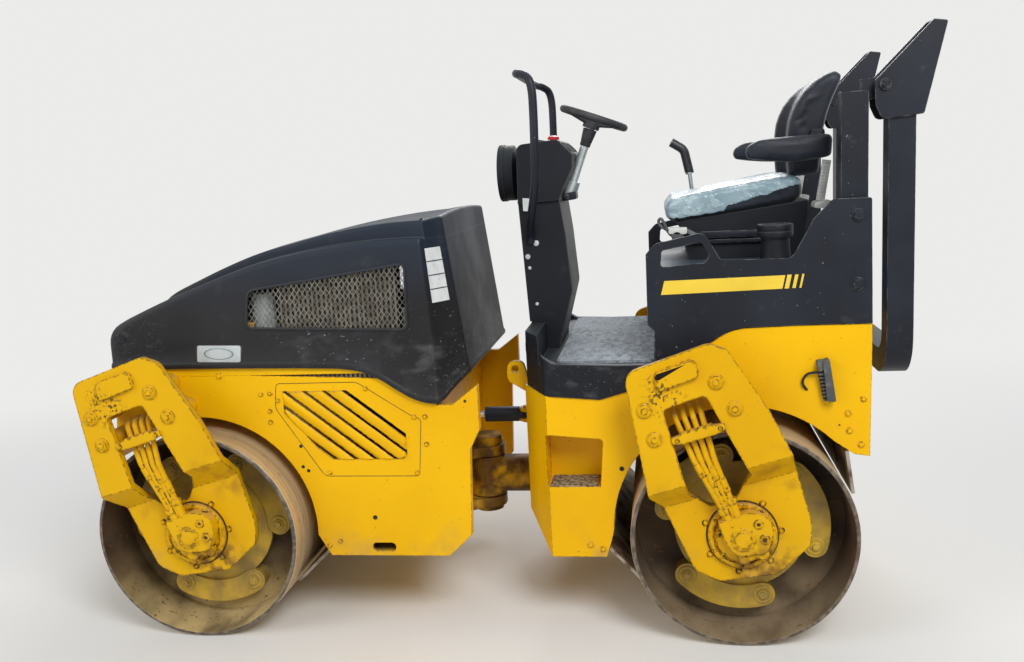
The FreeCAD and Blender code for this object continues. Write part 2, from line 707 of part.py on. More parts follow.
gooseneck = loop((hinge.x - hinge_eye, hinge.z - hinge_eye, hinge_eye),
                 (hinge.x - hinge_eye, hinge.z + hinge_eye, hinge_eye),
                 (hinge.x + 40, hinge.z + hinge_eye, 30), (-1028, 1008, 40), (-1008, 900, 20),
                 (-1016, 878, 8), (shelf_end, shelf), (-1120, shelf), (-1120, 897, 8), (-1072, 899, 14),
                 (-1052, 915, 14), (-1058, 955, 24), (-1086, 983, 30), (hinge.x + 12, hinge.z - hinge_eye, 8))
bracket = joined([along_y([gooseneck],
                          bracket_y, bracket_y + 10),
                  rod(Vector(hinge.x, -half_hood - 4, hinge.z), Vector(hinge.x, bracket_y, hinge.z),
                      size("hinge_pin_radius"))])
pair("hood_hinges", bracket)

# Engine bay: the engine as one block, the cooler behind the left window and the filter beside it.
feature("engine", block(-445, -140, -230, 230, bottom + wall, 1000))
bay_wall = -half_frame + wall
cooler = joined([block(-600, -190, -455, -395, 900, 1225), block(-600, -190, bay_wall, -395, 840, 900)])
feature("cooler", cooler)
feature("air_filter", joined([rod(Vector(-662, -420, 880), Vector(-662, -420, 1150), 38),
                              block(-700, -624, bay_wall, -380, 850, 880)]))

# Operator's platform: a moulded tub on the frame, with a rubber mat.
tank_x = size("tank_front")
tub_side = loop((nose + 8, 803), (nose + 8, 985), (262, 985), (279, 926, 10), (318, deck + 8, 40),
                (519, deck, 40), (tank_x, deck), (tank_x, 850), (600, 822, 60), (465, 783))
tub = along_y([tub_side], -half_frame - 5, half_frame + 5)
tub_plan = loop((nose + 8, -sweep_start), (sweep_end, -half_frame - 5, 30), (tank_x, -half_frame - 5),
                (tank_x, half_frame + 5), (sweep_end, half_frame + 5, 30), (nose + 8, sweep_start))
tub = tub.common(along_z([tub_plan], 700, 1100))
floor_cut = block(268, tank_x + 5, -half_frame + 25, half_frame - 25, deck, 1100)
tub = tub.cut(floor_cut)
feature("platform_tub", tub)
mat_top = deck + size("mat_thickness")
mat = along_z([loop((326, -half_frame + 40, 20), (tank_x - 4, -half_frame + 40),
                    (tank_x - 4, half_frame - 40), (326, half_frame - 40, 20))], deck, mat_top)
feature("floor_mat", mat)

# Seat console: the water tank between the side panels, notched for the roof posts.
post_front = size("post_front")
tank_side = loop((tank_x, 850), (tank_x, size("tank_top"), 20), (1292, size("tank_top"), 20),
                 (1292, tank_floor), (1070, tank_floor), (880, 1000, 160))
tank = along_y([tank_side], -half_frame + 8, half_frame - 8)
tank_plan = loop((tank_x, -half_frame + 8), (post_front - 12, -half_frame + 8), (post_front - 12, -395),
                 (1292, -395), (1292, 395), (post_front - 12, 395), (post_front - 12, half_frame - 8),
                 (tank_x, half_frame - 8))
tank = tank.common(along_z([tank_plan], 700, 1400))
feature("water_tank", tank)

# Side panels: thick plates with a hand hole at the front and a rise to the roof posts.
panel_outline = loop((tank_x, 880), (tank_x, 1000), (621, 1020), (621, 1240), (650, 1272, 30),
                     (800, 1302, 30), (848, 1215, 20), (1060, 1213, 30), (1125, 1330, 20),
                     (1180, size("panel_top"), 30),
                     (1292, size("panel_top"), 8), (1296, tank_floor + 2), (1070, tank_floor + 2),
                     (880, 1002, 160), (tank_x, 852))
hand_hole = loop((666, 1198, 10), (670, 1250, 12), (790, 1272, 12), (815, 1230, 14), (800, 1208, 10))
left_panel = plate("side_panel_left", [panel_outline, hand_hole], "Sizes.frame_width / 2 - Sizes.panel_seat",
                   "Sizes.panel_plate")
right_panel = plate("side_panel_right", [panel_outline, hand_hole],
                    "Sizes.panel_seat - Sizes.frame_width / 2 - Sizes.panel_plate", "Sizes.panel_plate")

# Roll-over frame: two posts bolted inside the panels, and the hoop that is folded down behind them.
hoop_out = size("hoop_half_width")
hoop_t = size("hoop_plate")
post_out = hoop_out - hoop_t - size("hoop_clearance")
post_in = post_out - size("post_width")
pivot = Vector(size("hoop_pivot_x"), 0, size("hoop_pivot_z"))
post_rear = post_front + size("post_depth")
post = block(post_front, post_rear, -post_out, -post_in, tank_floor, size("post_top"))
lug_y = (post_out + post_in) / 2
ear = along_y([loop((post_rear - 20, 1665), (pivot.x + 26, pivot.z - 28, 24),
                    (pivot.x + 26, pivot.z + 28, 24), (post_rear - 20, pivot.z + 20))],
              -lug_y - 14, -lug_y + 14)
pivot_bolt = rod(Vector(pivot.x, -hoop_out - 6, pivot.z), Vector(pivot.x, -post_in + 22, pivot.z), 14)
pieces = [post, ear, pivot_bolt]
for bolt_z in (1128, 1338):
    pieces.append(rod(Vector(1248, -half_frame + 3, bolt_z), Vector(1248, -post_out, bolt_z), 26))
pair("roof_posts", joined(pieces))
hoop_in = post_in - size("hoop_clearance") - hoop_t
hoop_front = size("hoop_front")
hoop_rear = hoop_front + size("hoop_depth")
hoop_z = size("hoop_bottom")
bend = size("hoop_bend")
leg_out = hoop_out - hoop_t
leg_in = hoop_in + hoop_t
leg_top = 1625
u_shape = loop((-leg_out, leg_top), (-leg_out, hoop_z, bend), (leg_out, hoop_z, bend), (leg_out, leg_top),
               (leg_in, leg_top), (leg_in, hoop_z + 76, bend - 70), (-leg_in, hoop_z + 76, bend - 70),
               (-leg_in, leg_top))
hoop = [along_x([u_shape], hoop_front, hoop_rear)]
gusset_outline = loop((1299, 1722, 14), (1463, 1888, 6), (size("hoop_reach"), 1882, 6), (1440, 1622, 10),
                      (1322, 1612, 20), (1304, 1652))
gusset_hole = circle(pivot.x, pivot.z, 14 + size("running_fit"))
web_outline = loop((1463, 1888), (size("hoop_reach"), 1882), (1440, 1622), (1432, 1622), (1490, 1866),
                   (1466, 1876))
for sign in (-1, 1):
    for y0, y1 in ((leg_out, hoop_out), (hoop_in, leg_in)):
        low, high = sorted((sign * y0, sign * y1))
        hoop.append(along_y([gusset_outline, gusset_hole], low, high))
    low, high = sorted((sign * leg_out, sign * leg_in))
    hoop.append(along_y([web_outline], low, high))
feature("roof_hoop", joined(hoop))

# Console: a moulded pillar on the platform, with the dash pod, head lamp and hand rail.
pillar = along_y([loop((nose + 8, deck), (186, 1400), (329, 1408), (345, 1290), (361, 1097, 60), (312, 912),
                       (312, deck))], -172, 172)
pillar = pillar.cut(block(0, nose + 8, -200, 200, 700, 990))
feature("console_pillar", pillar.cut(tub))
dash = along_y([loop((186, 1400), (190, 1600, 25), (330, 1612, 20), (380, 1560, 15), (378, 1515, 20),
                     (345, 1450), (329, 1408))], -185, 185)
lamp_z = 1506
column_angle = math.radians(size("column_tilt"))
column_axis = Vector(math.sin(column_angle), 0, math.cos(column_angle))
column_foot = Vector(352, 0, 1430)
column_start = column_foot + column_axis * 12
feature("dash_pod", dash)
lamp = joined([Part.makeCylinder(size("lamp_radius"), 46, Vector(112, 0, lamp_z), Vector(1, 0, 0)),
               Part.makeCone(size("lamp_radius"), 60, 30, Vector(158, 0, lamp_z), Vector(1, 0, 0))])
feature("head_lamp", lamp.cut(dash))
half_rail = size("rail_half_width")
rail_top = size("rail_top")
rail_points = [Vector(256, -172, 1235), (Vector(256, -290, 1290), 70), (Vector(266, -half_rail, 1500), 100),
               (Vector(268, -half_rail, 1790), 60), (Vector(202, -half_rail, rail_top), 50),
               (Vector(202, half_rail, rail_top), 50), (Vector(268, half_rail, 1790), 60),
               (Vector(266, half_rail, 1500), 100), (Vector(256, 290, 1290), 70), Vector(256, 172, 1235)]
feature("hand_rail", bent_tube(rail_points, size("rail_radius")).cut(pillar))
column = rod(column_foot, column_foot + column_axis * size("column_length"), size("column_radius"))
column = joined([column, rod(column_foot - column_axis * 10, column_foot + column_axis * 40, 26)])
feature("steering_column", column.cut(dash).cut(pillar))
wheel_rotation = Rotation(Vector(0, 0, 1), column_axis)
rim_radius = size("wheel_rim_radius")
rim = Part.makeTorus(rim_radius, size("rim_tube_radius"))
hub_drop = 26
wheel_parts = [rim, Part.makeCylinder(30, 34, Vector(0, 0, -hub_drop - 12))]
for spoke in range(3):
    angle = math.radians(90 + 120 * spoke)
    out = Vector(math.cos(angle), math.sin(angle), 0)
    wheel_parts.append(rod(out * 12 + Vector(0, 0, -hub_drop + 4),
                           out * (rim_radius - 2) + Vector(0, 0, -2), 8))
wheel = joined(wheel_parts)
wheel_centre = column_foot + column_axis * (size("column_length") + hub_drop + 12.3)
wheel.Placement = Placement(wheel_centre, wheel_rotation)
feature("steering_wheel", wheel)

# Seat: base, cushion, backrest, arm rests and the drive lever beside it.
half_seat = size("seat_width") / 2
tank_top = size("tank_top")
feature("seat_base", along_y([loop((760, tank_top), (740, 1290), (720, 1318), (1150, 1374), (1150, 1330),
                                   (1130, tank_top))], -half_seat + 30, half_seat - 30))
cushion = along_y([loop((676, 1312.6, 20), (672, 1385, 30), (1140, 1455, 30), (1150, 1374.3, 20))],
                  -half_seat, half_seat)
feature("seat_cushion", cushion)
backrest = along_y([loop((1085, 1435), (1085, 1590, 60), (1102, 1660, 60), (1140, 1725, 60), (1190, 1773, 50),
                         (1240, 1792, 25), (1272, 1775, 20), (1232, 1700, 90), (1200, 1590, 90),
                         (1185, 1450))],
                   -half_seat + 20, half_seat - 20)
back = backrest.cut(along_y([loop((600, 1200), (600, 1374.5), (1300, 1479.2), (1300, 1200))], -400, 400))
feature("seat_back", back)
arm_outline = loop((915, 1542, 10), (932, 1568, 12), (1061, 1580), (1187, 1587), (1220, 1576, 12),
                   (1208, 1499, 12), (1111, 1497), (959, 1511, 10), (921, 1524, 8))
arm = joined([along_y([arm_outline], -half_seat - 62, -half_seat - 6),
              along_y([loop((1150, 1545), (1150, 1600), (1195, 1600), (1195, 1545))],
                      -half_seat - 30, -half_seat + 20)])
pair("arm_rests", arm)
feature("drive_lever", joined([bent_tube([Vector(806, 305, tank_top), (Vector(806, 305, 1290), 60),
                                          Vector(784, 290, 1474)], 8),
                               bent_tube([Vector(785, 290, 1470), (Vector(765, 285, 1560), 40),
                                          Vector(718, 280, 1590)], 17)]))
neck = size("neck_radius")
neck_base = Vector(1030, -half_frame + size("neck_inset"), tank_top)
collar_base = neck_base + Vector(0, 0, 63)
filler = joined([Part.makeCylinder(neck - 8, 85, neck_base), Part.makeCylinder(neck, 22, collar_base)])
filler = filler.cut(Part.makeCylinder(neck - 16, 70, neck_base + Vector(0, 0, 16)))
feature("filler_neck", filler)

# Tow eyes: a lug plate on each side of the rear frame's nose, bored for a shackle.
eye_y = size("tow_eye_offset")
half_eye = size("tow_eye_plate") / 2
tow = along_y([loop((nose, 752), (nose, 798), (188, 866, 24), (131, 866, 27), (131, 798, 26)),
               circle(159, 838, size("tow_eye_bore"))], -eye_y - half_eye, -eye_y + half_eye)
pair("tow_eyes", tow)

doc.recompute()
for item in doc.Objects:
    if "Invalid" in item.State or "Error" in item.State:
        raise RuntimeError("failed object: " + item.Label)
os.makedirs("parts", exist_ok=True)
for item in NODES:
    if item.Shape.isNull() or not item.Shape.isValid():
        raise RuntimeError("bad shape: " + item.Label)
    item.Shape.exportStep("parts/%s.step" % item.Label)
box = FreeCAD.BoundBox()
for item in NODES:
    box.add(item.Shape.BoundBox)
    print("%-18s %2d %s" % (item.Label, len(item.Shape.Solids), item.Shape.BoundBox))
print("whole part", box)
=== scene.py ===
import bmesh
import bpy
import math
from mathutils import Matrix, Vector, geometry, noise


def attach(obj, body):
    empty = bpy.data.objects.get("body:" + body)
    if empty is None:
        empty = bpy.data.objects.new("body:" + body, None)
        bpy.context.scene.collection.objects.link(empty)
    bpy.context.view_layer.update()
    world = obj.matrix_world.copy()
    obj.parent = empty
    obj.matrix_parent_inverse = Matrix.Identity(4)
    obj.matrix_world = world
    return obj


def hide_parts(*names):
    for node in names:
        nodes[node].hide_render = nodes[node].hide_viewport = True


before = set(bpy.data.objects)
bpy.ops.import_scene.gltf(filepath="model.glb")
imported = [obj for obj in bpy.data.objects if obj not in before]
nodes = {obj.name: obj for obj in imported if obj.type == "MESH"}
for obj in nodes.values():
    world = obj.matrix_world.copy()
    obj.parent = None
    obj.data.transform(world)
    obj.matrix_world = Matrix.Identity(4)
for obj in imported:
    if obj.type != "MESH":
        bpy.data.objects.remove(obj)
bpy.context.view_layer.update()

# Camera, floor and lights. The camera stands where the photograph was taken from, a person's eye height
# away on the operator's left, with a lens worked out from the two drum rims.
eye_place = Vector((0.538, -3.6513, 1.524))
eye_turn = (0.1488, -0.1597, 0.0503)
lens_mm = 35.54
camera_data = bpy.data.cameras.new("camera")
camera_data.lens = lens_mm
camera_data.sensor_width = 36
camera = bpy.data.objects.new("camera", camera_data)
yaw, pitch, roll = eye_turn
camera.matrix_world = (Matrix.Translation(eye_place) @ Matrix.Rotation(yaw, 4, "Z")
                       @ Matrix.Rotation(pitch, 4, "X") @ Matrix.Rotation(roll, 4, "Y")
                       @ Matrix.Rotation(math.pi / 2, 4, "X"))
bpy.context.scene.collection.objects.link(camera)
bpy.context.scene.camera = camera
bpy.context.scene.view_settings.view_transform = "Standard"


def soft_light(name, place, target, width, power):
    """A square lamp that faces a point."""
    lamp = bpy.data.lights.new(name, "AREA")
    lamp.size = width
    lamp.energy = power
    item = bpy.data.objects.new(name, lamp)
    item.location = place
    item.rotation_euler = (Vector(target) - Vector(place)).to_track_quat("-Z", "Y").to_euler()
    bpy.context.scene.collection.objects.link(item)


soft_light("key_light", (2.4, -4.6, 4.6), (0, 0, 0.6), 2.4, 255)
soft_light("fill_light", (-4.4, -3.6, 3.0), (0, 0, 0.7), 3.2, 100)
soft_light("back_light", (0.5, 4.4, 4.2), (0, 0, 0.8), 2.6, 150)

floor_mesh = bpy.data.meshes.new("floor")
floor_mesh.from_pydata([(-30, -12, 0), (30, -12, 0), (30, 60, 0), (-30, 60, 0)], [], [(0, 1, 2, 3)])
floor = bpy.data.objects.new("floor", floor_mesh)
bpy.context.scene.collection.objects.link(floor)
floor_finish = bpy.data.materials.new("floor_finish")
floor_finish.use_nodes = True
floor_tree = floor_finish.node_tree
floor_shader = floor_tree.nodes["Principled BSDF"]
floor_shader.inputs["Base Color"].default_value = (0.78, 0.78, 0.77, 1)
floor_shader.inputs["Roughness"].default_value = 0.9
floor_mesh.materials.append(floor_finish)
backdrop_colour = (0.88, 0.88, 0.87, 1)
backdrop_strength = 0.95
fade_start = 1.9
fade_end = 5.2


def grow(tree, kind, inputs=(), **settings):
    """A node with its settings and its inputs, each of them a value or another node's output."""
    node = tree.nodes.new(kind)
    for key, value in settings.items():
        setattr(node, key, value)
    for key, value in dict(inputs).items():
        if isinstance(value, bpy.types.NodeSocket):
            tree.links.new(value, node.inputs[key])
        else:
            node.inputs[key].default_value = value
    return node


def seen_directly(tree):
    """1 for rays from the camera, from gloss and through glass."""
    rays = grow(tree, "ShaderNodeLightPath").outputs
    seen = rays["Is Camera Ray"]
    for kind in ("Is Glossy Ray", "Is Transmission Ray"):
        seen = grow(tree, "ShaderNodeMath", {0: seen, 1: rays[kind]}, operation="MAXIMUM").outputs["Value"]
    return seen


floor_place = grow(floor_tree, "ShaderNodeTexCoord").outputs["Object"]
floor_reach = grow(floor_tree, "ShaderNodeVectorMath", {0: floor_place}, operation="LENGTH")
floor_fade = grow(floor_tree, "ShaderNodeMapRange", {
    "Value": floor_reach.outputs["Value"], "From Min": fade_start, "From Max": fade_end},
    interpolation_type="SMOOTHSTEP")
floor_share = grow(floor_tree, "ShaderNodeMath", {
    0: floor_fade.outputs["Result"], 1: seen_directly(floor_tree)}, operation="MULTIPLY")
floor_glow = grow(floor_tree, "ShaderNodeEmission", {"Color": backdrop_colour, "Strength": backdrop_strength})
floor_mix = grow(floor_tree, "ShaderNodeMixShader", {
    "Fac": floor_share.outputs["Value"], 1: floor_shader.outputs["BSDF"], 2: floor_glow.outputs["Emission"]})
floor_tree.links.new(floor_mix.outputs["Shader"], floor_tree.nodes["Material Output"].inputs["Surface"])

world = bpy.data.worlds.new("room")
bpy.context.scene.world = world
world.use_nodes = True
room = world.node_tree
surround = room.nodes["Background"]
surround.inputs["Color"].default_value = (0.86, 0.88, 0.9, 1)
surround.inputs["Strength"].default_value = 0.42
backdrop = grow(room, "ShaderNodeBackground", {"Color": backdrop_colour, "Strength": backdrop_strength})
shown = grow(room, "ShaderNodeMixShader", {
    "Fac": seen_directly(room), 1: surround.outputs["Background"], 2: backdrop.outputs["Background"]})
room.links.new(shown.outputs["Shader"], room.nodes["World Output"].inputs["Surface"])

front_axle_x = -900
rear_axle_x = 900
axle_z = 350


# Welded frames and forks: plate of 10 to 24 mm, sprayed in thick chrome yellow over everything that was
# bolted on at the time. It has chipped at the edges and gone brown with dust and oil low down.
def at(x, y, z):
    """A place in millimetres from the steering pivot, as in the part's sheet, in the frame's metres."""
    return Vector(((x - 126) / 1000, y / 1000, z / 1000))


def blank_finish(name, roughness, metal=0.0, gloss=None):
    """A material with its tree, its shader and the object's own coordinates."""
    material = bpy.data.materials.new(name)
    material.use_nodes = True
    tree = material.node_tree
    shader = tree.nodes["Principled BSDF"]
    shader.inputs["Roughness"].default_value = roughness
    shader.inputs["Metallic"].default_value = metal
    if gloss is not None:
        shader.inputs["Specular IOR Level"].default_value = gloss
    return material, tree, shader, grow(tree, "ShaderNodeTexCoord").outputs["Object"]


def ramp(tree, value, low, high, start=0.0, end=1.0):
    """A value carried smoothly from start to end as it goes from low to high."""
    return grow(tree, "ShaderNodeMapRange", {"Value": value, "From Min": low, "From Max": high, "To Min": start,
                                             "To Max": end}, interpolation_type="SMOOTHSTEP").outputs["Result"]


def patches(tree, place, scale, low, high, stretch=(1, 1, 1), detail=5):
    """Soft-edged patches, 0 below one level of a noise and 1 above another."""
    spread = grow(tree, "ShaderNodeMapping", {"Vector": place, "Scale": stretch}).outputs["Vector"]
    grain = grow(tree, "ShaderNodeTexNoise", {"Vector": spread, "Scale": scale, "Detail": detail})
    return ramp(tree, grain.outputs["Fac"], low, high)


def times(tree, first, second, kind="MULTIPLY"):
    """Two masks multiplied, or joined by another operation."""
    return grow(tree, "ShaderNodeMath", {0: first, 1: second}, operation=kind, use_clamp=True).outputs["Value"]


def tint(tree, mask, under, over):
    """One colour laid over another by a mask; either may be a socket or an RGB triple."""
    under, over = [(*colour, 1) if isinstance(colour, tuple) else colour for colour in (under, over)]
    return grow(tree, "ShaderNodeMix", {0: mask, 6: under, 7: over}, data_type="RGBA").outputs[2]


def relief(tree, shader, height, strength, depth, softened=None):
    """A bump on the shader from a height in 0 to 1, laid over rounded edges where these are given."""
    bump = grow(tree, "ShaderNodeBump", {"Height": height, "Strength": strength, "Distance": depth})
    if softened:
        tree.links.new(softened, bump.inputs["Normal"])
    tree.links.new(bump.outputs["Normal"], shader.inputs["Normal"])


def part_of(tree, vector, axis):
    """One of a vector's three numbers."""
    return grow(tree, "ShaderNodeSeparateXYZ", {"Vector": vector}).outputs[axis]


def facing_up(tree, low, high):
    """1 on faces that look upwards."""
    return ramp(tree, part_of(tree, grow(tree, "ShaderNodeNewGeometry").outputs["Normal"], "Z"), low, high)


def away_from(tree, place, centre):
    """The distance from a line that crosses the machine."""
    apart = grow(tree, "ShaderNodeVectorMath", {0: place, 1: centre}, operation="SUBTRACT").outputs["Vector"]
    level = grow(tree, "ShaderNodeVectorMath", {0: apart, 1: (1, 0, 1)}, operation="MULTIPLY").outputs["Vector"]
    return grow(tree, "ShaderNodeVectorMath", {0: level}, operation="LENGTH").outputs["Value"]


def edges_for_wear_and_highlight(tree, radius):
    """1 on outer edges, where the rounded normal leaves the true one, and the rounded normal itself."""
    softened = grow(tree, "ShaderNodeBevel", {"Radius": radius}, samples=4).outputs["Normal"]
    true_normal = grow(tree, "ShaderNodeNewGeometry").outputs["Normal"]
    meet = grow(tree, "ShaderNodeVectorMath", {0: softened, 1: true_normal}, operation="DOT_PRODUCT")
    band = grow(tree, "ShaderNodeMapRange", {"Value": meet.outputs["Value"], "From Min": 0.99, "From Max": 0.9})
    return band.outputs["Result"], softened


def clouded(name, roughness, metal, cloud, first, second):
    """A finish of two colours in soft patches, whose scale and two levels are in cloud."""
    material, tree, shader, place = blank_finish(name, roughness, metal)
    colour = tint(tree, patches(tree, place, *cloud), first, second)
    tree.links.new(colour, shader.inputs["Base Color"])
    return material, tree, shader, place, colour


chip_brown = (0.06, 0.028, 0.014)
dust_tan = (0.36, 0.24, 0.1)


def yellow_paint(name, grime, stains=(), deep=1.0, soft=0.004, painted_shadow_openings=()):
    """Sprayed chrome yellow, with chips down to rust at the edges, grime low down, stains at places, and near-black
    painted shade inside outlines that stand for openings.
    """
    material, tree, shader, place = blank_finish(name, 0.4, gloss=0.15)
    colour = tint(tree, patches(tree, place, 2.3, 0.35, 0.7), (0.84 * deep, 0.47 * deep, 0.002),
                  (0.77 * deep, 0.41 * deep, 0.0012))
    low_down = ramp(tree, part_of(tree, place, "Z"), 0.2, 0.42, 1, 0)
    dust = times(tree, patches(tree, place, 9, 0.5 - grime * 0.14, 0.8), low_down)
    colour = tint(tree, times(tree, dust, 0.7), colour, dust_tan)
    on_top = times(tree, facing_up(tree, 0.3, 0.9), patches(tree, place, 16, 0.3, 0.6))
    colour = tint(tree, times(tree, on_top, 0.5), colour, (0.42, 0.29, 0.13))
    for centre, reach, shade, scale, amount, crisp in stains:
        near = ramp(tree, away_from(tree, place, centre), reach * 0.2, reach, 1, 0)
        level = 0.62 - 0.25 * amount
        mottle = patches(tree, place, scale, level, level + crisp)
        if crisp < 0.1:
            mottle = patches(tree, place, scale, 0.545, 0.565)
            near = times(tree, near, patches(tree, place, scale * 0.3, 0.4, 0.5))
        colour = tint(tree, times(tree, times(tree, near, mottle), amount), colour, shade)
    edge, softened = edges_for_wear_and_highlight(tree, soft)
    chips = times(tree, edge, patches(tree, place, 75, 0.5, 0.53))
    colour = tint(tree, chips, colour, chip_brown)
    colour = tint(tree, patches(tree, place, 110, 0.725, 0.74), colour, (0.16, 0.07, 0.02))
    # Near-black inside each outline on the outer face: painted shade standing for an opening in the plate.
    for outline, face_y in painted_shadow_openings:
        from_middle = times(tree, part_of(tree, place, "Y"), 0, "ABSOLUTE")
        inside = ramp(tree, from_middle, face_y - 0.001, face_y - 0.0005)
        for k in range(len(outline)):
            a, b = outline[k - 1], outline[k]
            way = (b - a).normalized()
            lean = grow(tree, "ShaderNodeVectorMath", {0: place, 1: (way.z, 0, -way.x)}, operation="DOT_PRODUCT")
            level = way.z * a.x - way.x * a.z
            inside = times(tree, inside, ramp(tree, lean.outputs["Value"], level - 0.0006, level + 0.0006))
        colour = tint(tree, inside, colour, (0.006, 0.004, 0.003))
    tree.links.new(colour, shader.inputs["Base Color"])
    rough = ramp(tree, times(tree, dust, chips, "ADD"), 0, 1, 0.4, 0.8)
    tree.links.new(rough, shader.inputs["Roughness"])
    relief(tree, shader, patches(tree, place, 210, 0.3, 0.7), 0.08, 0.001, softened)
    return material


def finish_node(node, material):
    """A CAD node shown in a finish."""
    mesh = nodes[node].data
    mesh.materials.clear()
    mesh.materials.append(material)


frame_paint = yellow_paint("frame_yellow_paint", 0.4)
# The joint's paint is darkened to 0.7 and stained dark brown: partly dirt, partly painted shade of the gap between the
# frames.
joint_paint = yellow_paint("joint_yellow_paint", 0.9, [
    (at(40, 0, 420), 0.6, (0.09, 0.042, 0.012), 7, 0.9, 0.2),
    (at(10, 0, 520), 0.5, (0.04, 0.02, 0.008), 16, 0.8, 0.2)], 0.7)
for part in ("rear_frame", "front_frame", "tow_eyes"):
    finish_node(part, frame_paint)
for part in ("steering_knuckle", "steering_lugs"):
    finish_node(part, joint_paint)

oil_brown = (0.16, 0.075, 0.018)
bend_rust = (0.3, 0.13, 0.015)
fork_paints = {}
for axle_name, axle_x in (("front", front_axle_x), ("rear", rear_axle_x)):
    # On the rear fork a near-black patch by the boss is painted shade for the opening in its plate.
    pocket_shadow_outline = [at(axle_x + x, 0, axle_z + z)
              for x, z in ((-263, 528), (-256, 545), (-169, 574), (-248, 527))]
    fork_paints[axle_name] = yellow_paint("fork_yellow_paint_" + axle_name, 0.45, [
        (at(axle_x + 60, 0, axle_z - 85), 0.14, oil_brown, 22, 0.85, 0.2),
        (at(axle_x + 120, 0, axle_z + 225), 0.13, bend_rust, 13, 0.8, 0.3),
        (at(axle_x - 215, 0, axle_z + 130), 0.1, bend_rust, 13, 0.6, 0.3),
        (at(axle_x - 232, 0, axle_z + 462), 0.085, chip_brown, 85, 0.95, 0.03),
        (at(axle_x - 262, 0, axle_z + 505), 0.055, chip_brown, 110, 0.9, 0.03)],
        0.86, 0.009, [(pocket_shadow_outline, 0.669)] if axle_name == "rear" else ())
    for part in ("fork_", "hoses_"):
        finish_node(part + axle_name, fork_paints[axle_name])


# Drums: 14 mm rolled plate, turned true. The rolling face is burnished and filmed with pale dust in rings;
# the inside is dark mill scale and rust, laid paler on the lower half with dust and painted sunlight, and the rim is
# worn bright.
def drum_steel(name, axle_x, dust_and_painted_light):
    """Drum steel: rolling face, worn rim and rusty inside, told apart by the distance from the axle."""
    material, tree, shader, place = blank_finish(name, 0.5, 0.25)
    axle = at(axle_x, 0, axle_z)
    radius = away_from(tree, place, axle)
    ringed = patches(tree, place, 5, 0.35, 0.65, (0.5, 16, 0.5))
    rolled = tint(tree, ringed, (0.5, 0.375, 0.205), (0.66, 0.51, 0.3))
    smears = times(tree, patches(tree, place, 30, 0.58, 0.74, (1, 3, 1)), 0.6)
    rolled = tint(tree, smears, rolled, (0.22, 0.16, 0.1))
    scale = tint(tree, patches(tree, place, 7, 0.35, 0.7), (0.045, 0.028, 0.017), (0.1, 0.06, 0.03))
    # The lower inside is laid paler: partly dust, partly painted sunlight.
    lower_dust_and_light = times(tree, ramp(tree, part_of(tree, place, "Z"), 0.03, 0.3, 1, 0),
                  patches(tree, place, 6, 0.25, 0.6, (1, 0.5, 1)))
    scale = tint(tree, times(tree, lower_dust_and_light, 0.9), scale, dust_and_painted_light)
    scale = tint(tree, patches(tree, place, 60, 0.62, 0.7), scale, (0.2, 0.09, 0.03))
    rim = tint(tree, patches(tree, place, 40, 0.4, 0.6), (0.2, 0.16, 0.12), (0.09, 0.07, 0.055))
    colour = tint(tree, ramp(tree, radius, 0.3372, 0.3378), scale, rim)
    colour = tint(tree, ramp(tree, radius, 0.3486, 0.3492), colour, rolled)
    tree.links.new(colour, shader.inputs["Base Color"])
    tree.links.new(ramp(tree, radius, 0.34, 0.348, 0.8, 0.46), shader.inputs["Roughness"])
    relief(tree, shader, patches(tree, place, 130, 0.3, 0.7, (1, 2, 1)), 0.25, 0.0012)
    return material


# Each drum's colour for its paler lower inside, partly dust and partly painted sunlight; the front drum's is paler.
for axle_name, axle_x, dust_and_painted_light in (("front", front_axle_x, (0.68, 0.52, 0.24)),
                                      ("rear", rear_axle_x, (0.33, 0.25, 0.15))):
    finish_node("drum_" + axle_name, drum_steel("drum_steel_" + axle_name, axle_x, dust_and_painted_light))


# Drum carriers: three curved plates a side, each on two round rubber buffers, painted with the frame and
# now under a coat of cream dust. One flanged bolt holds each end of a plate to its buffer.
def dusty_paint():
    """Yellow paint almost hidden by dried dust."""
    material, tree, shader, place = blank_finish("carrier_dusty_paint", 0.62)
    colour = tint(tree, patches(tree, place, 8, 0.3, 0.7), (0.66, 0.42, 0.03), (0.34, 0.22, 0.05))
    colour = tint(tree, times(tree, patches(tree, place, 15, 0.45, 0.75), 0.7), colour, (0.2, 0.135, 0.06))
    edge, softened = edges_for_wear_and_highlight(tree, 0.004)
    colour = tint(tree, times(tree, edge, 0.6), colour, (0.76, 0.55, 0.08))
    tree.links.new(colour, shader.inputs["Base Color"])
    relief(tree, shader, patches(tree, place, 70, 0.3, 0.7), 0.25, 0.002, softened)
    return material


def add_turned(bm, start, direction, profile, sides=24):
    """A closed turned form along a line: (distance along, radius) pairs in millimetres."""
    direction = Vector(direction).normalized()
    across = direction.orthogonal().normalized()
    other = direction.cross(across)
    rings = []
    for along, radius in profile:
        centre = start + direction * along / 1000
        if radius == 0:
            rings.append([bm.verts.new(centre)])
            continue
        ring = []
        for k in range(sides):
            angle = 2 * math.pi * k / sides
            spoke = across * math.cos(angle) + other * math.sin(angle)
            ring.append(bm.verts.new(centre + spoke * radius / 1000))
        rings.append(ring)
    for a, b in zip(rings, rings[1:]):
        for k in range(sides):
            n = (k + 1) % sides
            if len(a) == 1:
                bm.faces.new((a[0], b[k], b[n]))
            elif len(b) == 1:
                bm.faces.new((a[k], a[n], b[0]))
            else:
                bm.faces.new((a[k], a[n], b[n], b[k]))
    for ring in (rings[0], rings[-1]):
        if len(ring) > 1:
            bm.faces.new(ring)


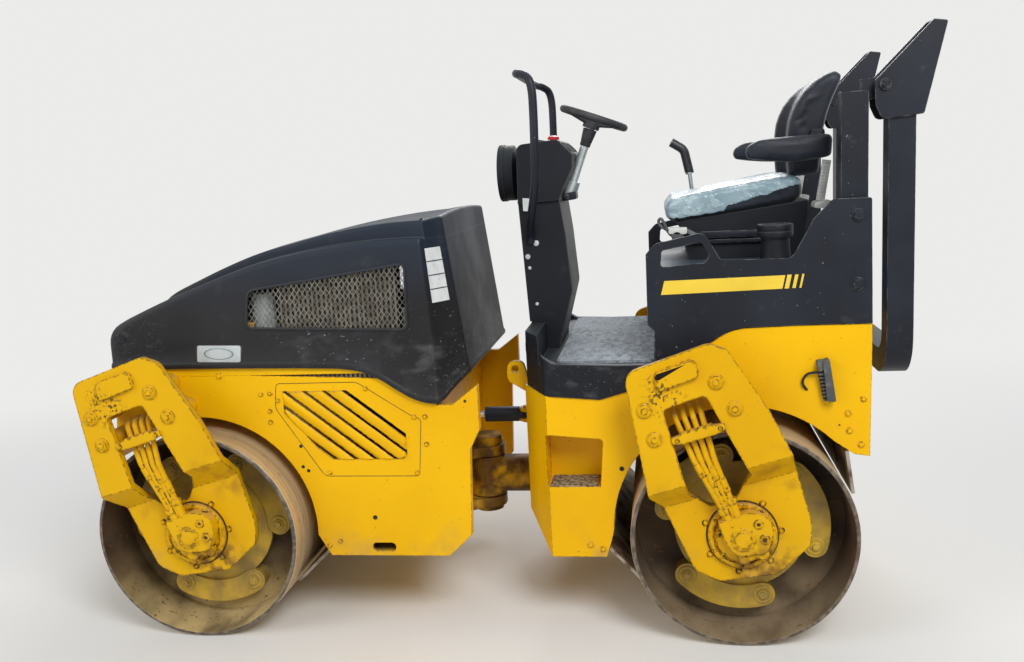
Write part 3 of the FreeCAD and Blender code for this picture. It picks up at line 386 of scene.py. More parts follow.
def shade(mesh, angle):
    """Smooth faces that meet below an angle, with true edges left sharp."""
    mesh.polygons.foreach_set("use_smooth", [True] * len(mesh.polygons))
    mesh.set_sharp_from_angle(angle=math.radians(angle))


def new_piece(name, bm, material, body, angle=32):
    """A finished piece from its mesh, riding on a body."""
    bmesh.ops.recalc_face_normals(bm, faces=bm.faces)
    mesh = bpy.data.meshes.new(name)
    bm.to_mesh(mesh)
    bm.free()
    mesh.materials.append(material)
    shade(mesh, angle)
    item = bpy.data.objects.new(name, mesh)
    bpy.context.scene.collection.objects.link(item)
    if body:
        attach(item, body)
    return item


def own_mesh(item):
    """Turns the result of an object's modifiers into its own plain mesh."""
    bpy.context.view_layer.update()
    result = bpy.data.meshes.new_from_object(item.evaluated_get(bpy.context.evaluated_depsgraph_get()))
    item.modifiers.clear()
    item.data = result


bolt_tree = bpy.data.node_groups.new("bolt_pattern", "GeometryNodeTree")
bolt_inputs = {}
for label, kind in (("Places", "Geometry"), ("Head", "Object"), ("Finish", "Material"),
                    ("Turn Spread", "Float"), ("Seed", "Int")):
    bolt_inputs[label] = bolt_tree.interface.new_socket(label, in_out="INPUT", socket_type="NodeSocket" + kind)
bolt_tree.interface.new_socket("Bolts", in_out="OUTPUT", socket_type="NodeSocketGeometry")
entry = grow(bolt_tree, "NodeGroupInput")
leave = grow(bolt_tree, "NodeGroupOutput")
outward = grow(bolt_tree, "GeometryNodeInputNamedAttribute", data_type="FLOAT_VECTOR")
outward.inputs["Name"].default_value = "outward"
reach = grow(bolt_tree, "GeometryNodeInputNamedAttribute", data_type="FLOAT")
reach.inputs["Name"].default_value = "head_radius"
aim = grow(bolt_tree, "FunctionNodeAlignRotationToVector", axis="Z")
spin = grow(bolt_tree, "FunctionNodeRandomValue", data_type="FLOAT")
about = grow(bolt_tree, "FunctionNodeAxisAngleToRotation")
about.inputs["Axis"].default_value = (0, 0, 1)
turned = grow(bolt_tree, "FunctionNodeRotateRotation", rotation_space="LOCAL")
head = grow(bolt_tree, "GeometryNodeObjectInfo")
scatter = grow(bolt_tree, "GeometryNodeInstanceOnPoints")
real = grow(bolt_tree, "GeometryNodeRealizeInstances")
coat = grow(bolt_tree, "GeometryNodeSetMaterial")
for source, target in ((entry.outputs["Places"], scatter.inputs["Points"]),
                       (entry.outputs["Head"], head.inputs["Object"]),
                       (entry.outputs["Finish"], coat.inputs["Material"]),
                       (entry.outputs["Turn Spread"], spin.inputs[3]),
                       (entry.outputs["Seed"], spin.inputs["Seed"]),
                       (outward.outputs["Attribute"], aim.inputs["Vector"]),
                       (spin.outputs[1], about.inputs["Angle"]),
                       (aim.outputs["Rotation"], turned.inputs["Rotation"]),
                       (about.outputs["Rotation"], turned.inputs["Rotate By"]),
                       (head.outputs["Geometry"], scatter.inputs["Instance"]),
                       (turned.outputs["Rotation"], scatter.inputs["Rotation"]),
                       (reach.outputs["Attribute"], scatter.inputs["Scale"]),
                       (scatter.outputs["Instances"], real.inputs["Geometry"]),
                       (real.outputs["Geometry"], coat.inputs["Geometry"]),
                       (coat.outputs["Geometry"], leave.inputs["Bolts"])):
    bolt_tree.links.new(source, target)

hex_shape = bmesh.new()
add_turned(hex_shape, Vector((0, 0, 0)), (0, 0, 1), [(-60, 1000), (130, 1000), (180, 930), (180, 0)], 20)
add_turned(hex_shape, Vector((0, 0, 0)), (0, 0, 1), [(120, 690), (590, 690), (680, 600), (680, 0)], 6)
hex_head = new_piece("hex_head", hex_shape, fork_paints["front"], None)


def bolt_pattern(name, rows, material, body, seed=1):
    """Hex heads on their washers at (place, outward direction, radius in mm) rows, as one mesh."""
    mesh = bpy.data.meshes.new(name)
    mesh.from_pydata([row[0] for row in rows], [], [])
    ways = mesh.attributes.new("outward", "FLOAT_VECTOR", "POINT")
    ways.data.foreach_set("vector", [number for row in rows for number in row[1]])
    radii = mesh.attributes.new("head_radius", "FLOAT", "POINT")
    radii.data.foreach_set("value", [row[2] / 1000 for row in rows])
    item = bpy.data.objects.new(name, mesh)
    bpy.context.scene.collection.objects.link(item)
    pattern = item.modifiers.new("pattern", "NODES")
    pattern.node_group = bolt_tree
    pattern[bolt_inputs["Head"].identifier] = hex_head
    pattern[bolt_inputs["Finish"].identifier] = material
    pattern[bolt_inputs["Turn Spread"].identifier] = 1.05
    pattern[bolt_inputs["Seed"].identifier] = seed
    own_mesh(item)
    for spare in ("outward", "head_radius"):
        if item.data.attributes.get(spare):
            item.data.attributes.remove(item.data.attributes[spare])
    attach(item, body)
    return item


def both_sides(y, radius, points):
    """The same bolts on the left and the right of the machine, at a distance from the middle."""
    return [(at(x, side * y, z), (0, side, 0), radius) for side in (-1, 1) for x, z in points]


carrier_dust = dusty_paint()
carrier_arm_radius = 242
carrier_arm_half_angle = 31
carrier_face_y = 470
for axle_name, axle_x, first_turn in (("front", front_axle_x, 32), ("rear", rear_axle_x, 15)):
    finish_node("drum_carrier_" + axle_name, carrier_dust)
    ends = []
    for arm in range(3):
        for end in (-1, 1):
            angle = math.radians(first_turn + 120 * arm + end * carrier_arm_half_angle)
            ends.append((axle_x + carrier_arm_radius * math.cos(angle),
                         axle_z + carrier_arm_radius * math.sin(angle)))
    bolt_pattern("carrier_bolts_" + axle_name, both_sides(carrier_face_y + 4, 17, ends), carrier_dust,
                 axle_name + "_drum", 3)
    cups = bmesh.new()
    for x, z in ends:
        for side in (-1, 1):
            add_turned(cups, at(x, side * (carrier_face_y - 1), z), (0, side, 0),
                       [(0, 30), (3, 30), (5, 28), (5, 21), (4, 19), (4, 0)], 28)
    new_piece("carrier_washers_" + axle_name, cups, carrier_dust, axle_name + "_drum")


# Fork fittings: hex bolts through the plates, a saddle clamp that holds the four hoses across the window,
# swaged ferrules and nuts on the hoses, and the cast motor cover with its plugs, all under the same paint.
def rounded(points, radius, steps=4):
    """An outline with its corners turned."""
    result = []
    count = len(points)
    for i in range(count):
        here = Vector(points[i])
        back = Vector(points[i - 1]) - here
        ahead = Vector(points[(i + 1) % count]) - here
        cut = min(radius, back.length * 0.45, ahead.length * 0.45)
        start = here + back.normalized() * cut
        end = here + ahead.normalized() * cut
        for k in range(steps + 1):
            t = k / steps
            result.append(tuple(start * (1 - t) ** 2 + here * 2 * t * (1 - t) + end * t * t))
    return result


def add_slab(bm, outline, y0, y1, soft=0):
    """A plate with its outline in x and z, between two distances from the middle, its edges softened."""
    low = [bm.verts.new(at(x, y0, z)) for x, z in outline]
    high = [bm.verts.new(at(x, y1, z)) for x, z in outline]
    ends = [bm.faces.new(low), bm.faces.new(high[::-1])]
    for i in range(len(outline)):
        bm.faces.new((low[i - 1], low[i], high[i], high[i - 1]))
    if soft:
        edges = {edge for face in ends for edge in face.edges}
        bmesh.ops.bevel(bm, geom=list(edges), offset=soft / 1000, segments=2, profile=0.6, affect="EDGES",
                        clamp_overlap=True)


def add_slabs(bm, outline, y0, y1, soft=0):
    """The same plate on the left and the right of the machine."""
    for side in (-1, 1):
        add_slab(bm, outline, side * y0, side * y1, soft)


def plain_dark(name, colour, roughness):
    """A dark finish with a little dust in it, for holes and shadowed gaps."""
    return clouded(name, roughness, 0, (40, 0.5, 0.75), colour, tuple(c * 2.6 + 0.01 for c in colour))[0]


fork_low_y = 585
hose_y = 632
motor_place = Vector((-4, 14))
motor_body = rounded([(-78, 58), (-42, 68), (-16, 80), (14, 92), (62, 84), (84, 62), (90, 26), (78, -20), (66, -40),
                      (20, -46), (-14, -48), (-36, -38), (-56, 0)], 9)
motor_ear = rounded([(-30, -30), (72, -26), (80, -44), (74, -64), (52, -62), (34, -56), (6, -82), (-12, -76)], 8)
ear_slot = rounded([(2, -56), (34, -46), (36, -34), (2, -43)], 7)
# Dark brown for the gap round each motor flange and for the ear slots and plug sockets: painted shade of the gap and
# the recesses.
gap_and_recess_shade = plain_dark("motor_gap_painted_shade", (0.05, 0.024, 0.008), 0.8)
clamp_slope = math.radians(16.5)
for axle_name, axle_x, body in (("front", front_axle_x, "front_frame"), ("rear", rear_axle_x, "rear_frame")):
    paint = fork_paints[axle_name]

    def fork_at(x, y, z):
        """A place measured from this axle."""
        return at(axle_x + x, y, axle_z + z)

    def on_motor(outline):
        """An outline measured from the motor's middle."""
        return [(axle_x + motor_place.x + x, axle_z + motor_place.y + z) for x, z in outline]

    discs = [(axle_x + x, axle_z + z) for x, z in ((-80, 516), (-26, 434), (-294, 431), (-266, 340))]
    rim_bolts = [(119 * math.cos(a), 119 * math.sin(a)) for a in [math.radians(7 + 51.4 * k) for k in range(7)]]
    ring_bolts = [(97 * math.cos(a), 97 * math.sin(a)) for a in [math.radians(28 + 60 * k) for k in range(6)]]
    clamp_bolts = [(axle_x - 135 + u * math.cos(clamp_slope), axle_z + 357 + u * math.sin(clamp_slope))
                   for u in (-66, 68)]
    rows = both_sides(657.2, 17, discs) + both_sides(fork_low_y, 11, on_motor(rim_bolts))
    rows += both_sides(602, 6.5, on_motor(ring_bolts)) + both_sides(663, 8, clamp_bolts)
    bolt_pattern("fork_bolts_" + axle_name, rows, paint, body, 5)
    disc_rings = bmesh.new()
    for side in (-1, 1):
        for x, z in discs:
            add_turned(disc_rings, at(x, side * 656, z), (0, side, 0), [(-2, 25), (1.2, 25), (3, 23), (4, 20), (4, 0)], 32)
    new_piece("fork_bolt_rings_" + axle_name, disc_rings, paint, body)

    fittings = bmesh.new()
    for side in (-1, 1):
        along = Vector((math.cos(clamp_slope), math.sin(clamp_slope)))
        up = Vector((-along.y, along.x))
        middle = Vector((axle_x - 135, axle_z + 357))
        outline = [(-82, -8), (-50, -15), (52, -15), (84, -8), (84, 10), (56, 12)]
        for k in range(4):
            centre = 39 - 26 * k
            outline += [(centre + 11, 13), (centre + 8, 19), (centre - 8, 19), (centre - 11, 13)]
        outline += [(-56, 12), (-82, 10)]
        bar = [tuple(middle + along * u + up * v) for u, v in outline]
        add_slab(fittings, bar, side * 641, side * 664, 1.5)
        for k, lead in ((0, 14), (1, 48), (2, 22), (3, 60)):
            shift = 26 * k
            knee = fork_at(-150 + 0.8 * shift, side * hose_y, 270)
            foot = fork_at(-60 + 0.45 * shift, side * hose_y, 100)
            way = (foot - knee).normalized()
            add_turned(fittings, knee + way * lead / 1000, way,
                       [(0, 0), (0, 10), (1.5, 11), (34, 11), (35, 10), (35, 0)], 18)
            add_turned(fittings, knee + way * (lead + 33) / 1000, way,
                       [(0, 0), (0, 11.5), (1, 12.5), (13, 12.5), (14, 11.5), (14, 0)], 6)
            if k in (0, 3):
                rise = 0.012 * k
                add_turned(fittings, foot - way * (0.018 + rise), way,
                           [(0, 0), (0, 15), (2, 17), (19, 17), (21, 15), (21, 0)], 6)
                add_turned(fittings, foot - way * (-0.002 + rise), way, [(0, 0), (0, 13), (46, 13), (46, 0)], 20)
    new_piece("fork_fittings_" + axle_name, fittings, paint, body)

    # The thin dark disc behind the flange and the dark insets in the slots and plugs are painted shade, not part of the
    # casting.
    gap_ring = bmesh.new()
    motor = bmesh.new()
    recesses = bmesh.new()
    for side in (-1, 1):
        centre = fork_at(motor_place.x, 0, motor_place.y)
        face = centre + Vector((0, side * fork_low_y / 1000, 0))
        add_turned(gap_ring, face, (0, side, 0), [(-2, 112), (0.8, 112), (0.8, 0)], 56)
        add_turned(motor, face, (0, side, 0), [(-2, 106), (14, 106), (18, 102), (18, 90), (12, 88), (12, 84), (26, 80),
                                              (30, 70), (30, 0)], 56)
        inside = fork_at(0, side * 561, 0)
        add_turned(motor, inside, (0, -side, 0), [(-3, 104), (0, 110), (18, 110), (20, 107), (20, 62), (146, 60),
                                                 (146, 0)], 48)
        add_slab(motor, on_motor(motor_body), side * 604, side * 644, 4)
        add_slab(motor, on_motor(motor_ear), side * 608, side * 632, 2.5)
        add_slab(recesses, on_motor(ear_slot), side * 631, side * 632.6)
        boss = fork_at(motor_place.x - 2, side * 642, motor_place.y + 4)
        add_turned(motor, boss, (0, side, 0), [(0, 37), (2, 37), (4, 35), (4, 32), (2.6, 30), (2.6, 27), (5.5, 24),
                                              (5.5, 0)], 40)
        for x, z, r, y in ((44, 54, 13, 640), (62, 6, 14, 640), (-70, 14, 12, 616), (52, 84, 8, 612), (-84, 34, 7, 606),
                           (-60, -58, 8, 606)):
            plug = fork_at(motor_place.x + x, side * y, motor_place.y + z)
            add_turned(motor, plug, (0, side, 0), [(0, r), (7, r), (9, r - 2), (9, r * 0.5), (5, r * 0.45), (5, 0)], 20)
            add_turned(recesses, plug + Vector((0, side * 0.004, 0)), (0, side, 0), [(0, r * 0.42), (1.6, r * 0.42),
                                                                                     (1.6, 0)], 12)
    new_piece("motor_gap_" + axle_name, gap_ring, gap_and_recess_shade, body)
    motor_piece = new_piece("motor_casting_" + axle_name, motor, paint, body)
    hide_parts("motor_" + axle_name)
    new_piece("motor_recesses_" + axle_name, recesses, gap_and_recess_shade, body)

frame_bolts = [(-806, 886), (-666, 819), (-634, 822), (-608, 797), (-639, 761), (-640, 723), (-304, 833),
               (-146, 734), (-109, 735), (-110, 642), (-149, 545), (-448, 548), (-469, 291), (-430, 306)]
bolt_pattern("front_frame_bolts", both_sides(505, 9, frame_bolts[1:]) + both_sides(505, 12, frame_bolts[:1]),
             frame_paint, "front_frame", 2)
rear_bolts = [(1226, 727), (1230, 672), (1265, 627), (1271, 772), (417, 298), (457, 283)]
bolt_pattern("rear_frame_bolts", both_sides(505, 11, rear_bolts), frame_paint, "rear_frame", 4)


# Black discs at the tapped holes are painted shade inside them; the same black colours the side hooks.
hole_shade_and_hook_black = plain_dark("hole_shade_and_hook_black", (0.008, 0.006, 0.005), 0.8)
for body, points in (("front_frame", [(-542, 639, 6), (-540, 568, 6), (-522, 554, 6), (-303, 390, 8), (26, 785, 5)]),
                     ("rear_frame", [(526, 554, 8), (1060, 700, 3), (1200, 690, 3)])):
    holes = bmesh.new()
    for x, z, r in points:
        for side in (-1, 1):
            add_turned(holes, at(x, side * 504.8, z), (0, side, 0), [(0, r), (0.7, r), (0.7, 0)], 18)
    new_piece("tapped_holes_" + body, holes, hole_shade_and_hook_black, body)

# Louvre panel: a pressed sheet set in the front frame's side. The metal between two slots is pressed out
# into a blade that is highest along the slot's lower edge, and a thin seam runs round the panel.
panel_clip = [(-590, 828), (-330, 828), (-190, 712), (-178, 690), (-178, 592), (-452, 592), (-590, 760)]
louvre_way = Vector((math.cos(math.radians(-38)), math.sin(math.radians(-38))))


def clipped(start, way, length, outline):
    """The part of a line inside a convex outline, as its two ends, or None."""
    near, far = 0.0, length
    count = len(outline)
    for i in range(count):
        a = Vector(outline[i])
        edge = Vector(outline[(i + 1) % count]) - a
        inward = Vector((edge.y, -edge.x))
        slope = inward.dot(way)
        gap = inward.dot(start - a)
        if abs(slope) < 1e-9:
            if gap < 0:
                return None
        elif slope > 0:
            near = max(near, -gap / slope)
        else:
            far = min(far, -gap / slope)
    if near >= far:
        return None
    return start + way * near, start + way * far


louvre_across = Vector((-louvre_way.y, louvre_way.x))
blade_section = [(3, 504), (8, 506.4), (18, 510.5), (28, 512.6), (35, 512), (38.4, 509.6), (38.8, 504.6)]
blades = bmesh.new()
for index in range(11):
    start = Vector((-860 + 68 * index, 830))
    lines = [clipped(start + louvre_across * across, louvre_way, 500, panel_clip) for across, y in blade_section]
    if any(line is None for line in lines) or min((line[1] - line[0]).length for line in lines) < 26:
        continue
    for side in (-1, 1):
        near_end, far_end = [], []
        for (across, y), line in zip(blade_section, lines):
            lift = louvre_way * min(5, (y - 504) * 1.2)
            near_end.append(blades.verts.new(at((line[0] + lift).x, side * y, (line[0] + lift).y)))
            far_end.append(blades.verts.new(at((line[1] - lift).x, side * y, (line[1] - lift).y)))
        count = len(near_end)
        for k in range(count):
            blades.faces.new((near_end[k - 1], near_end[k], far_end[k], far_end[k - 1]))
        blades.faces.new(near_end)
        blades.faces.new(far_end[::-1])
new_piece("louvre_blades", blades, frame_paint, "front_frame", 50)

frame_flange = bmesh.new()
add_slabs(frame_flange, [(-1000, 884), (-1000, 924), (-520, 921), (-400, 917), (-335, 905), (-290, 884)],
          497, 505.2, 0.8)
new_piece("frame_top_flange", frame_flange, frame_paint, "front_frame")


def add_strip(bm, points, width, y0, y1, closed=True):
    """A narrow flat band that follows a line in x and z."""
    count = len(points)
    inner, outer = [], []
    for i in range(count):
        here = Vector(points[i])
        before = Vector(points[i - 1]) if closed or i else here
        after = Vector(points[(i + 1) % count]) if closed or i < count - 1 else here
        way = (after - before).normalized()
        side_way = Vector((-way.y, way.x)) * width / 2
        inner.append(here - side_way)
        outer.append(here + side_way)
    rings = []
    for row, y in ((inner, y0), (inner, y1), (outer, y1), (outer, y0)):
        rings.append([bm.verts.new(at(p.x, y, p.y)) for p in row])
    last = count if closed else count - 1
    for i in range(last):
        n = (i + 1) % count
        for k in range(4):
            bm.faces.new((rings[k][i], rings[k][n], rings[(k + 1) % 4][n], rings[(k + 1) % 4][i]))
    if not closed:
        bm.faces.new([ring[0] for ring in rings])
        bm.faces.new([ring[-1] for ring in rings][::-1])


seam_shade = plain_dark("seam_shade", (0.12, 0.06, 0.004), 0.7)
seams = bmesh.new()
panel_border = rounded([(-611, 855), (-334, 855), (-159, 741), (-124, 727), (-140, 534), (-465, 535), (-619, 770)], 14)
for side in (-1, 1):
    add_strip(seams, panel_border, 2.4, side * 504.6, side * 505.5)
new_piece("louvre_panel_seam", seams, seam_shade, "front_frame")


# Scrapers and cooler: hard steel edges worn bright under dust, and a ribbed core behind the hood's window
# that is brown with road dust, darkened overall as painted shade, with painted shade between its ribs.
def bare_steel(name):
    """Scraped steel with rust and dust."""
    material, tree, shader, place, _ = clouded(name, 0.5, 0.55, (18, 0.4, 0.65), (0.42, 0.38, 0.32),
                                               (0.14, 0.085, 0.05))
    relief(tree, shader, patches(tree, place, 160, 0.3, 0.7, (1, 0.2, 1)), 0.3, 0.001)
    return material


def ribbed_core():
    """Upright cooling ribs, dusty and darkened as painted shade, near black between them as painted shade."""
    material, tree, shader, place = blank_finish("cooler_core", 0.7, 0.2)
    wave = grow(tree, "ShaderNodeTexWave", {"Vector": place, "Scale": 20, "Distortion": 0.6},
                wave_type="BANDS", bands_direction="X")
    ribs = ramp(tree, wave.outputs["Fac"], 0.35, 0.75)
    # The rib colours are darkened as painted shade from the hood above, and the near-black between ribs is painted
    # shade.
    dusty_and_shaded = tint(tree, patches(tree, place, 9, 0.35, 0.6), (0.13, 0.1, 0.065), (0.26, 0.22, 0.15))
    colour = tint(tree, ribs, (0.02, 0.017, 0.014), dusty_and_shaded)
    tree.links.new(colour, shader.inputs["Base Color"])
    relief(tree, shader, ribs, 0.8, 0.004)
    return material


scraper_steel = bare_steel("scraper_steel")
for part in ("scraper_front", "scrapers_rear"):
    finish_node(part, scraper_steel)
finish_node("cooler", ribbed_core())


# Moulded covers: the hood, the platform tub and the console are black plastic with a fine grain. Their upward
# faces are painted paler and bluer as sky light, their edges paler as wear and painted highlight, dust films them, and
# they are scuffed where boots and branches pass.
def moulded_plastic(name, grain, dark, pale, scuff_at=(), sky_reflection_z=()):
    """Black plastic with grain, scuffs, a film of dust, paler edges and a painted blue sky reflection above a height.
    """
    material, tree, shader, place = blank_finish(name, 0.5, gloss=0.2)
    cloud = patches(tree, place, 3.2, 0.3, 0.75)
    colour = tint(tree, cloud, dark, pale)
    # Upward faces are painted paler and bluer: painted sky light.
    colour = tint(tree, times(tree, facing_up(tree, 0.2, 0.9), 0.6), colour, (0.04, 0.05, 0.052))
    # Above a height the colour turns blue: a painted sky reflection on the hood's top.
    if sky_reflection_z:
        painted_sky_reflection = ramp(tree, part_of(tree, place, "Z"), *sky_reflection_z, 0, 0.75)
        colour = tint(tree, painted_sky_reflection, colour, (0.018, 0.027, 0.045))
    dust = patches(tree, place, 14, 0.6, 0.85)
    colour = tint(tree, times(tree, dust, 0.2), colour, (0.09, 0.085, 0.08))
    for centre, span, scale, amount in scuff_at:
        near = ramp(tree, away_from(tree, place, centre), span * 0.2, span, 1, 0)
        marks = patches(tree, place, scale, 0.52, 0.75, (1, 1, 1.8))
        colour = tint(tree, times(tree, times(tree, near, marks), amount), colour, (0.1, 0.1, 0.105))
        fine = patches(tree, place, scale * 6, 0.66, 0.7, (1, 1, 2))
        colour = tint(tree, times(tree, times(tree, near, fine), 0.7), colour, (0.3, 0.3, 0.31))
    # Every edge is laid paler: partly wear, partly a painted highlight.
    edge, softened = edges_for_wear_and_highlight(tree, 0.006)
    colour = tint(tree, times(tree, edge, 0.55), colour, (0.1, 0.11, 0.12))
    tree.links.new(colour, shader.inputs["Base Color"])
    tree.links.new(ramp(tree, cloud, 0, 1, 0.46, 0.62), shader.inputs["Roughness"])
    relief(tree, shader, patches(tree, place, grain, 0.35, 0.65), 0.1, 0.0008, softened)
    return material


hood_plastic = moulded_plastic("hood_black_plastic", 420, (0.014, 0.0135, 0.0145), (0.024, 0.023, 0.0255), [
    (at(-430, 0, 980), 0.26, 12, 0.35), (at(-70, 0, 930), 0.24, 11, 0.5), (at(-1080, 0, 1010), 0.16, 30, 0.3),
    (at(0, 0, 900), 0.14, 18, 0.5)], (1.06, 1.36))
cover_plastic = moulded_plastic("cover_black_plastic", 360, (0.0065, 0.0075, 0.0105), (0.0125, 0.014, 0.0195), [
    (at(430, 0, 830), 0.2, 18, 0.4)])
for part in ("platform_tub", "console_pillar", "dash_pod", "head_lamp", "seat_base"):
    finish_node(part, cover_plastic)
tank_plastic = moulded_plastic("tank_blue_black_plastic", 300, (0.035, 0.06, 0.105), (0.055, 0.088, 0.145))
finish_node("water_tank", tank_plastic)
neck = bmesh.new()
add_turned(neck, at(1022, -410, 1196), (0, 0, 1), [
    (0, 50), (20, 47), (70, 43), (74, 44), (76, 53), (80, 55), (92, 55), (94, 54), (96, 55), (112, 55), (116, 53),
    (116, 44), (113, 42), (40, 38), (40, 0)], 40)
neck_piece = new_piece("filler_throat", neck, cover_plastic, "rear_frame", 40)
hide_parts("filler_neck")

# Hood: one rotary-moulded shell, 6 mm thick. Its walls follow a boat-shaped plan, a rolled bead stiffens the
# lower edge where it sweeps down behind the louvres, and a raised deck widens towards the swept rear corners.
hood_plan = [(-1200, -410, 20), (-1200, 410, 20), (-1194, 516, 48), (-62, 516, 9), (26, 395, 12), (26, -395, 12),
             (-62, -516, 9), (-1194, -516, 48)]
deck_plan = [(-1104, -230, 80), (-1104, 230, 80), (-1040, 396, 70), (-41, 486, 6), (26, 395, 12),
             (26, -395, 12), (-41, -486, 6), (-1040, -396, 70)]
hem_line = [(-1200, 918), (-1125, 918), (-861, 916), (-600, 912), (-470, 909), (-380, 905), (-310, 893),
            (-250, 867), (-200, 834), (-150, 804), (-110, 789), (-70, 783), (-48, 789), (-16, 824), (26, 862)]
shoulder_line = [(-1260, 1022), (-1200, 1050), (-1150, 1070), (-1112, 1087), (-982, 1141), (-836, 1195), (-647, 1256),
                 (-464, 1292), (-285, 1313), (-154, 1319), (-60, 1319), (26, 1316)]
ridge_line = [(-1160, 1066), (-1104, 1092), (-1040, 1127), (-988, 1157), (-934, 1181), (-781, 1243), (-660, 1284),
              (-533, 1314), (-410, 1341), (-296, 1359), (-186, 1370), (-52, 1374), (26, 1376)]
crown_line = [(-1104, 4), (-900, 10), (-200, 10), (-40, 16), (26, 19.5)]
side_window = [(-692, 1045), (-677, 1170), (-143, 1241), (-147, 1027)]
hood_wall = 6
rear_lean = 0.13


def eased(knots, x):
    """A smooth value at a place, through (place, value) pairs."""
    x = min(max(x, knots[0][0]), knots[-1][0])
    i = max(k for k in range(len(knots) - 1) if knots[k][0] <= x)
    (x0, v0), (x1, v1) = knots[i], knots[i + 1]
    before, after = knots[max(i - 1, 0)], knots[min(i + 2, len(knots) - 1)]
    m0 = (v1 - before[1]) / (x1 - before[0])
    m1 = (after[1] - v0) / (after[0] - x0)
    t = (x - x0) / (x1 - x0)
    return ((2 * t ** 3 - 3 * t ** 2 + 1) * v0 + (t ** 3 - 2 * t ** 2 + t) * (x1 - x0) * m0
            + (3 * t ** 2 - 2 * t ** 3) * v1 + (t ** 3 - t ** 2) * (x1 - x0) * m1)


def leaned(x, z):
    """The hood's swept rear end leans forward as it rises."""
    share = min(max((x + 150) / 176, 0), 1)
    return x - rear_lean * max(z - 880, 0) * share * share * (3 - 2 * share)


def deck_half(x):
    """Half the raised deck's width at a place along the hood."""
    return 396 + 90 * (min(max(x, -1040), -41) + 1040) / 999


def deck_height(x, y):
    """The top of the raised deck."""
    return eased(ridge_line, x) + eased(crown_line, x) * (1 - min(1, abs(y) / deck_half(x)) ** 2)


def shoulder_height(x, y):
    """The ledge that runs round the raised deck."""
    return eased(shoulder_line, x)


def plan_points(outline, spacing):
    """A plan outline with each corner turned by its own cut, divided evenly, with its inward directions."""
    turned_outline = []
    for i, (x, y, cut) in enumerate(outline):
        here = Vector((x, y))
        start = here + (Vector(outline[i - 1][:2]) - here).normalized() * cut
        end = here + (Vector(outline[(i + 1) % len(outline)][:2]) - here).normalized() * cut
        turned_outline += [start * (1 - t) ** 2 + here * 2 * t * (1 - t) + end * t * t
                           for t in [k / 5 for k in range(6)]]
    points = []
    for i, here in enumerate(turned_outline):
        ahead = turned_outline[(i + 1) % len(turned_outline)]
        parts = max(1, math.ceil((ahead - here).length / spacing))
        points += [here + (ahead - here) * k / parts for k in range(parts)]
    result = []
    for i, here in enumerate(points):
        way = (points[(i + 1) % len(points)] - points[i - 1]).normalized()
        result.append((here, Vector((way.y, -way.x))))
    return result


def moulded_shell(name, plan, foot, height, fillet):
    """A shell with upright walls on a plan: foot rows, a turned shoulder and a filled top."""
    bm = bmesh.new()
    rings = []
    tops = []
    for here, inward in plan:
        r = fillet(here)
        corner = height(here.x, here.y)
        column = [(here - inward * out, z) for out, z in foot(here)]
        base = column[-1][1]
        column += [(here, base + (corner - r - base) * k / 4) for k in range(1, 5)]
        inner = here + inward * r
        for k in range(1, 7):
            t = k / 6
            spot = here * (1 - t * t) + inner * t * t
            z = (corner - r) * (1 - t) ** 2 + corner * 2 * t * (1 - t) + height(inner.x, inner.y) * t * t
            column.append((spot, z))
        rings.append([bm.verts.new(at(leaned(spot.x, z), spot.y, z)) for spot, z in column])
        tops.append(inner)
    for a, b in zip(rings[-1:] + rings[:-1], rings):
        for k in range(len(a) - 1):
            bm.faces.new((a[k], a[k + 1], b[k + 1], b[k]))
    xs = [spot.x for spot in tops]
    grid = []
    for i in range(int((max(xs) - min(xs)) / 36) + 1):
        for j in range(-15, 16):
            spot = Vector((min(xs) + 18 + 36 * i, 34 * j))
            if min((spot - other).length for other in tops) > 20:
                grid.append(spot)
    count = len(tops)
    loop_edges = [(k, (k + 1) % count) for k in range(count)]
    flat, _, faces, origins, _, _ = geometry.delaunay_2d_cdt(tops + grid, loop_edges, [], 1, 0.01)
    corners = []
    for spot, origin in zip(flat, origins):
        own = [k for k in origin if k < count]
        top = height(spot.x, spot.y)
        corners.append(rings[own[0]][-1] if own else bm.verts.new(at(leaned(spot.x, top), spot.y, top)))
    for face in faces:
        if len({corners[k] for k in face}) == len(face):
            bm.faces.new([corners[k] for k in face])
    bmesh.ops.recalc_face_normals(bm, faces=bm.faces)
    if sum(face.normal.z * face.calc_area() for face in bm.faces) < 0:
        bmesh.ops.reverse_faces(bm, faces=bm.faces)
    mesh = bpy.data.meshes.new(name)
    bm.to_mesh(mesh)
    bm.free()
    item = bpy.data.objects.new(name, mesh)
    bpy.context.scene.collection.objects.link(item)
    thick = item.modifiers.new("wall", "SOLIDIFY")
    thick.thickness = hood_wall / 1000
    thick.offset = -1
    return item


def join_doubles(item):
    """Merges points that a cut or a wall left on one place."""
    bm = bmesh.new()
    bm.from_mesh(item.data)
    bmesh.ops.remove_doubles(bm, verts=bm.verts, dist=0.00002)
    bmesh.ops.dissolve_degenerate(bm, edges=bm.edges, dist=0.00002)
    bm.to_mesh(item.data)
    bm.free()


def hood_foot(here):
    """The rolled bead along the hood's lower edge."""
    hem = eased(hem_line, here.x)
    return [(out, hem + lift) for out, lift in ((-3, -1), (0.5, -3), (3.6, -1.6), (5, 2.5), (5, 8), (4.2, 13),
                                                (2, 17), (0, 20))]


def deck_foot(here):
    """The raised deck's walls start under the ledge, and lie just inside the walls below at the rear."""
    out = -0.3 if here.x > -40.5 else 0
    return [(out, eased(shoulder_line, here.x) - 42), (out, eased(shoulder_line, here.x) - 30)]


def hood_fillet(here):
    """The shoulder's radius: large over the nose, small at the rear corners."""
    nose = min(max((-1105 - here.x) / 90, 0), 1)
    return 24 + 34 * nose if here.x < -62 else 10


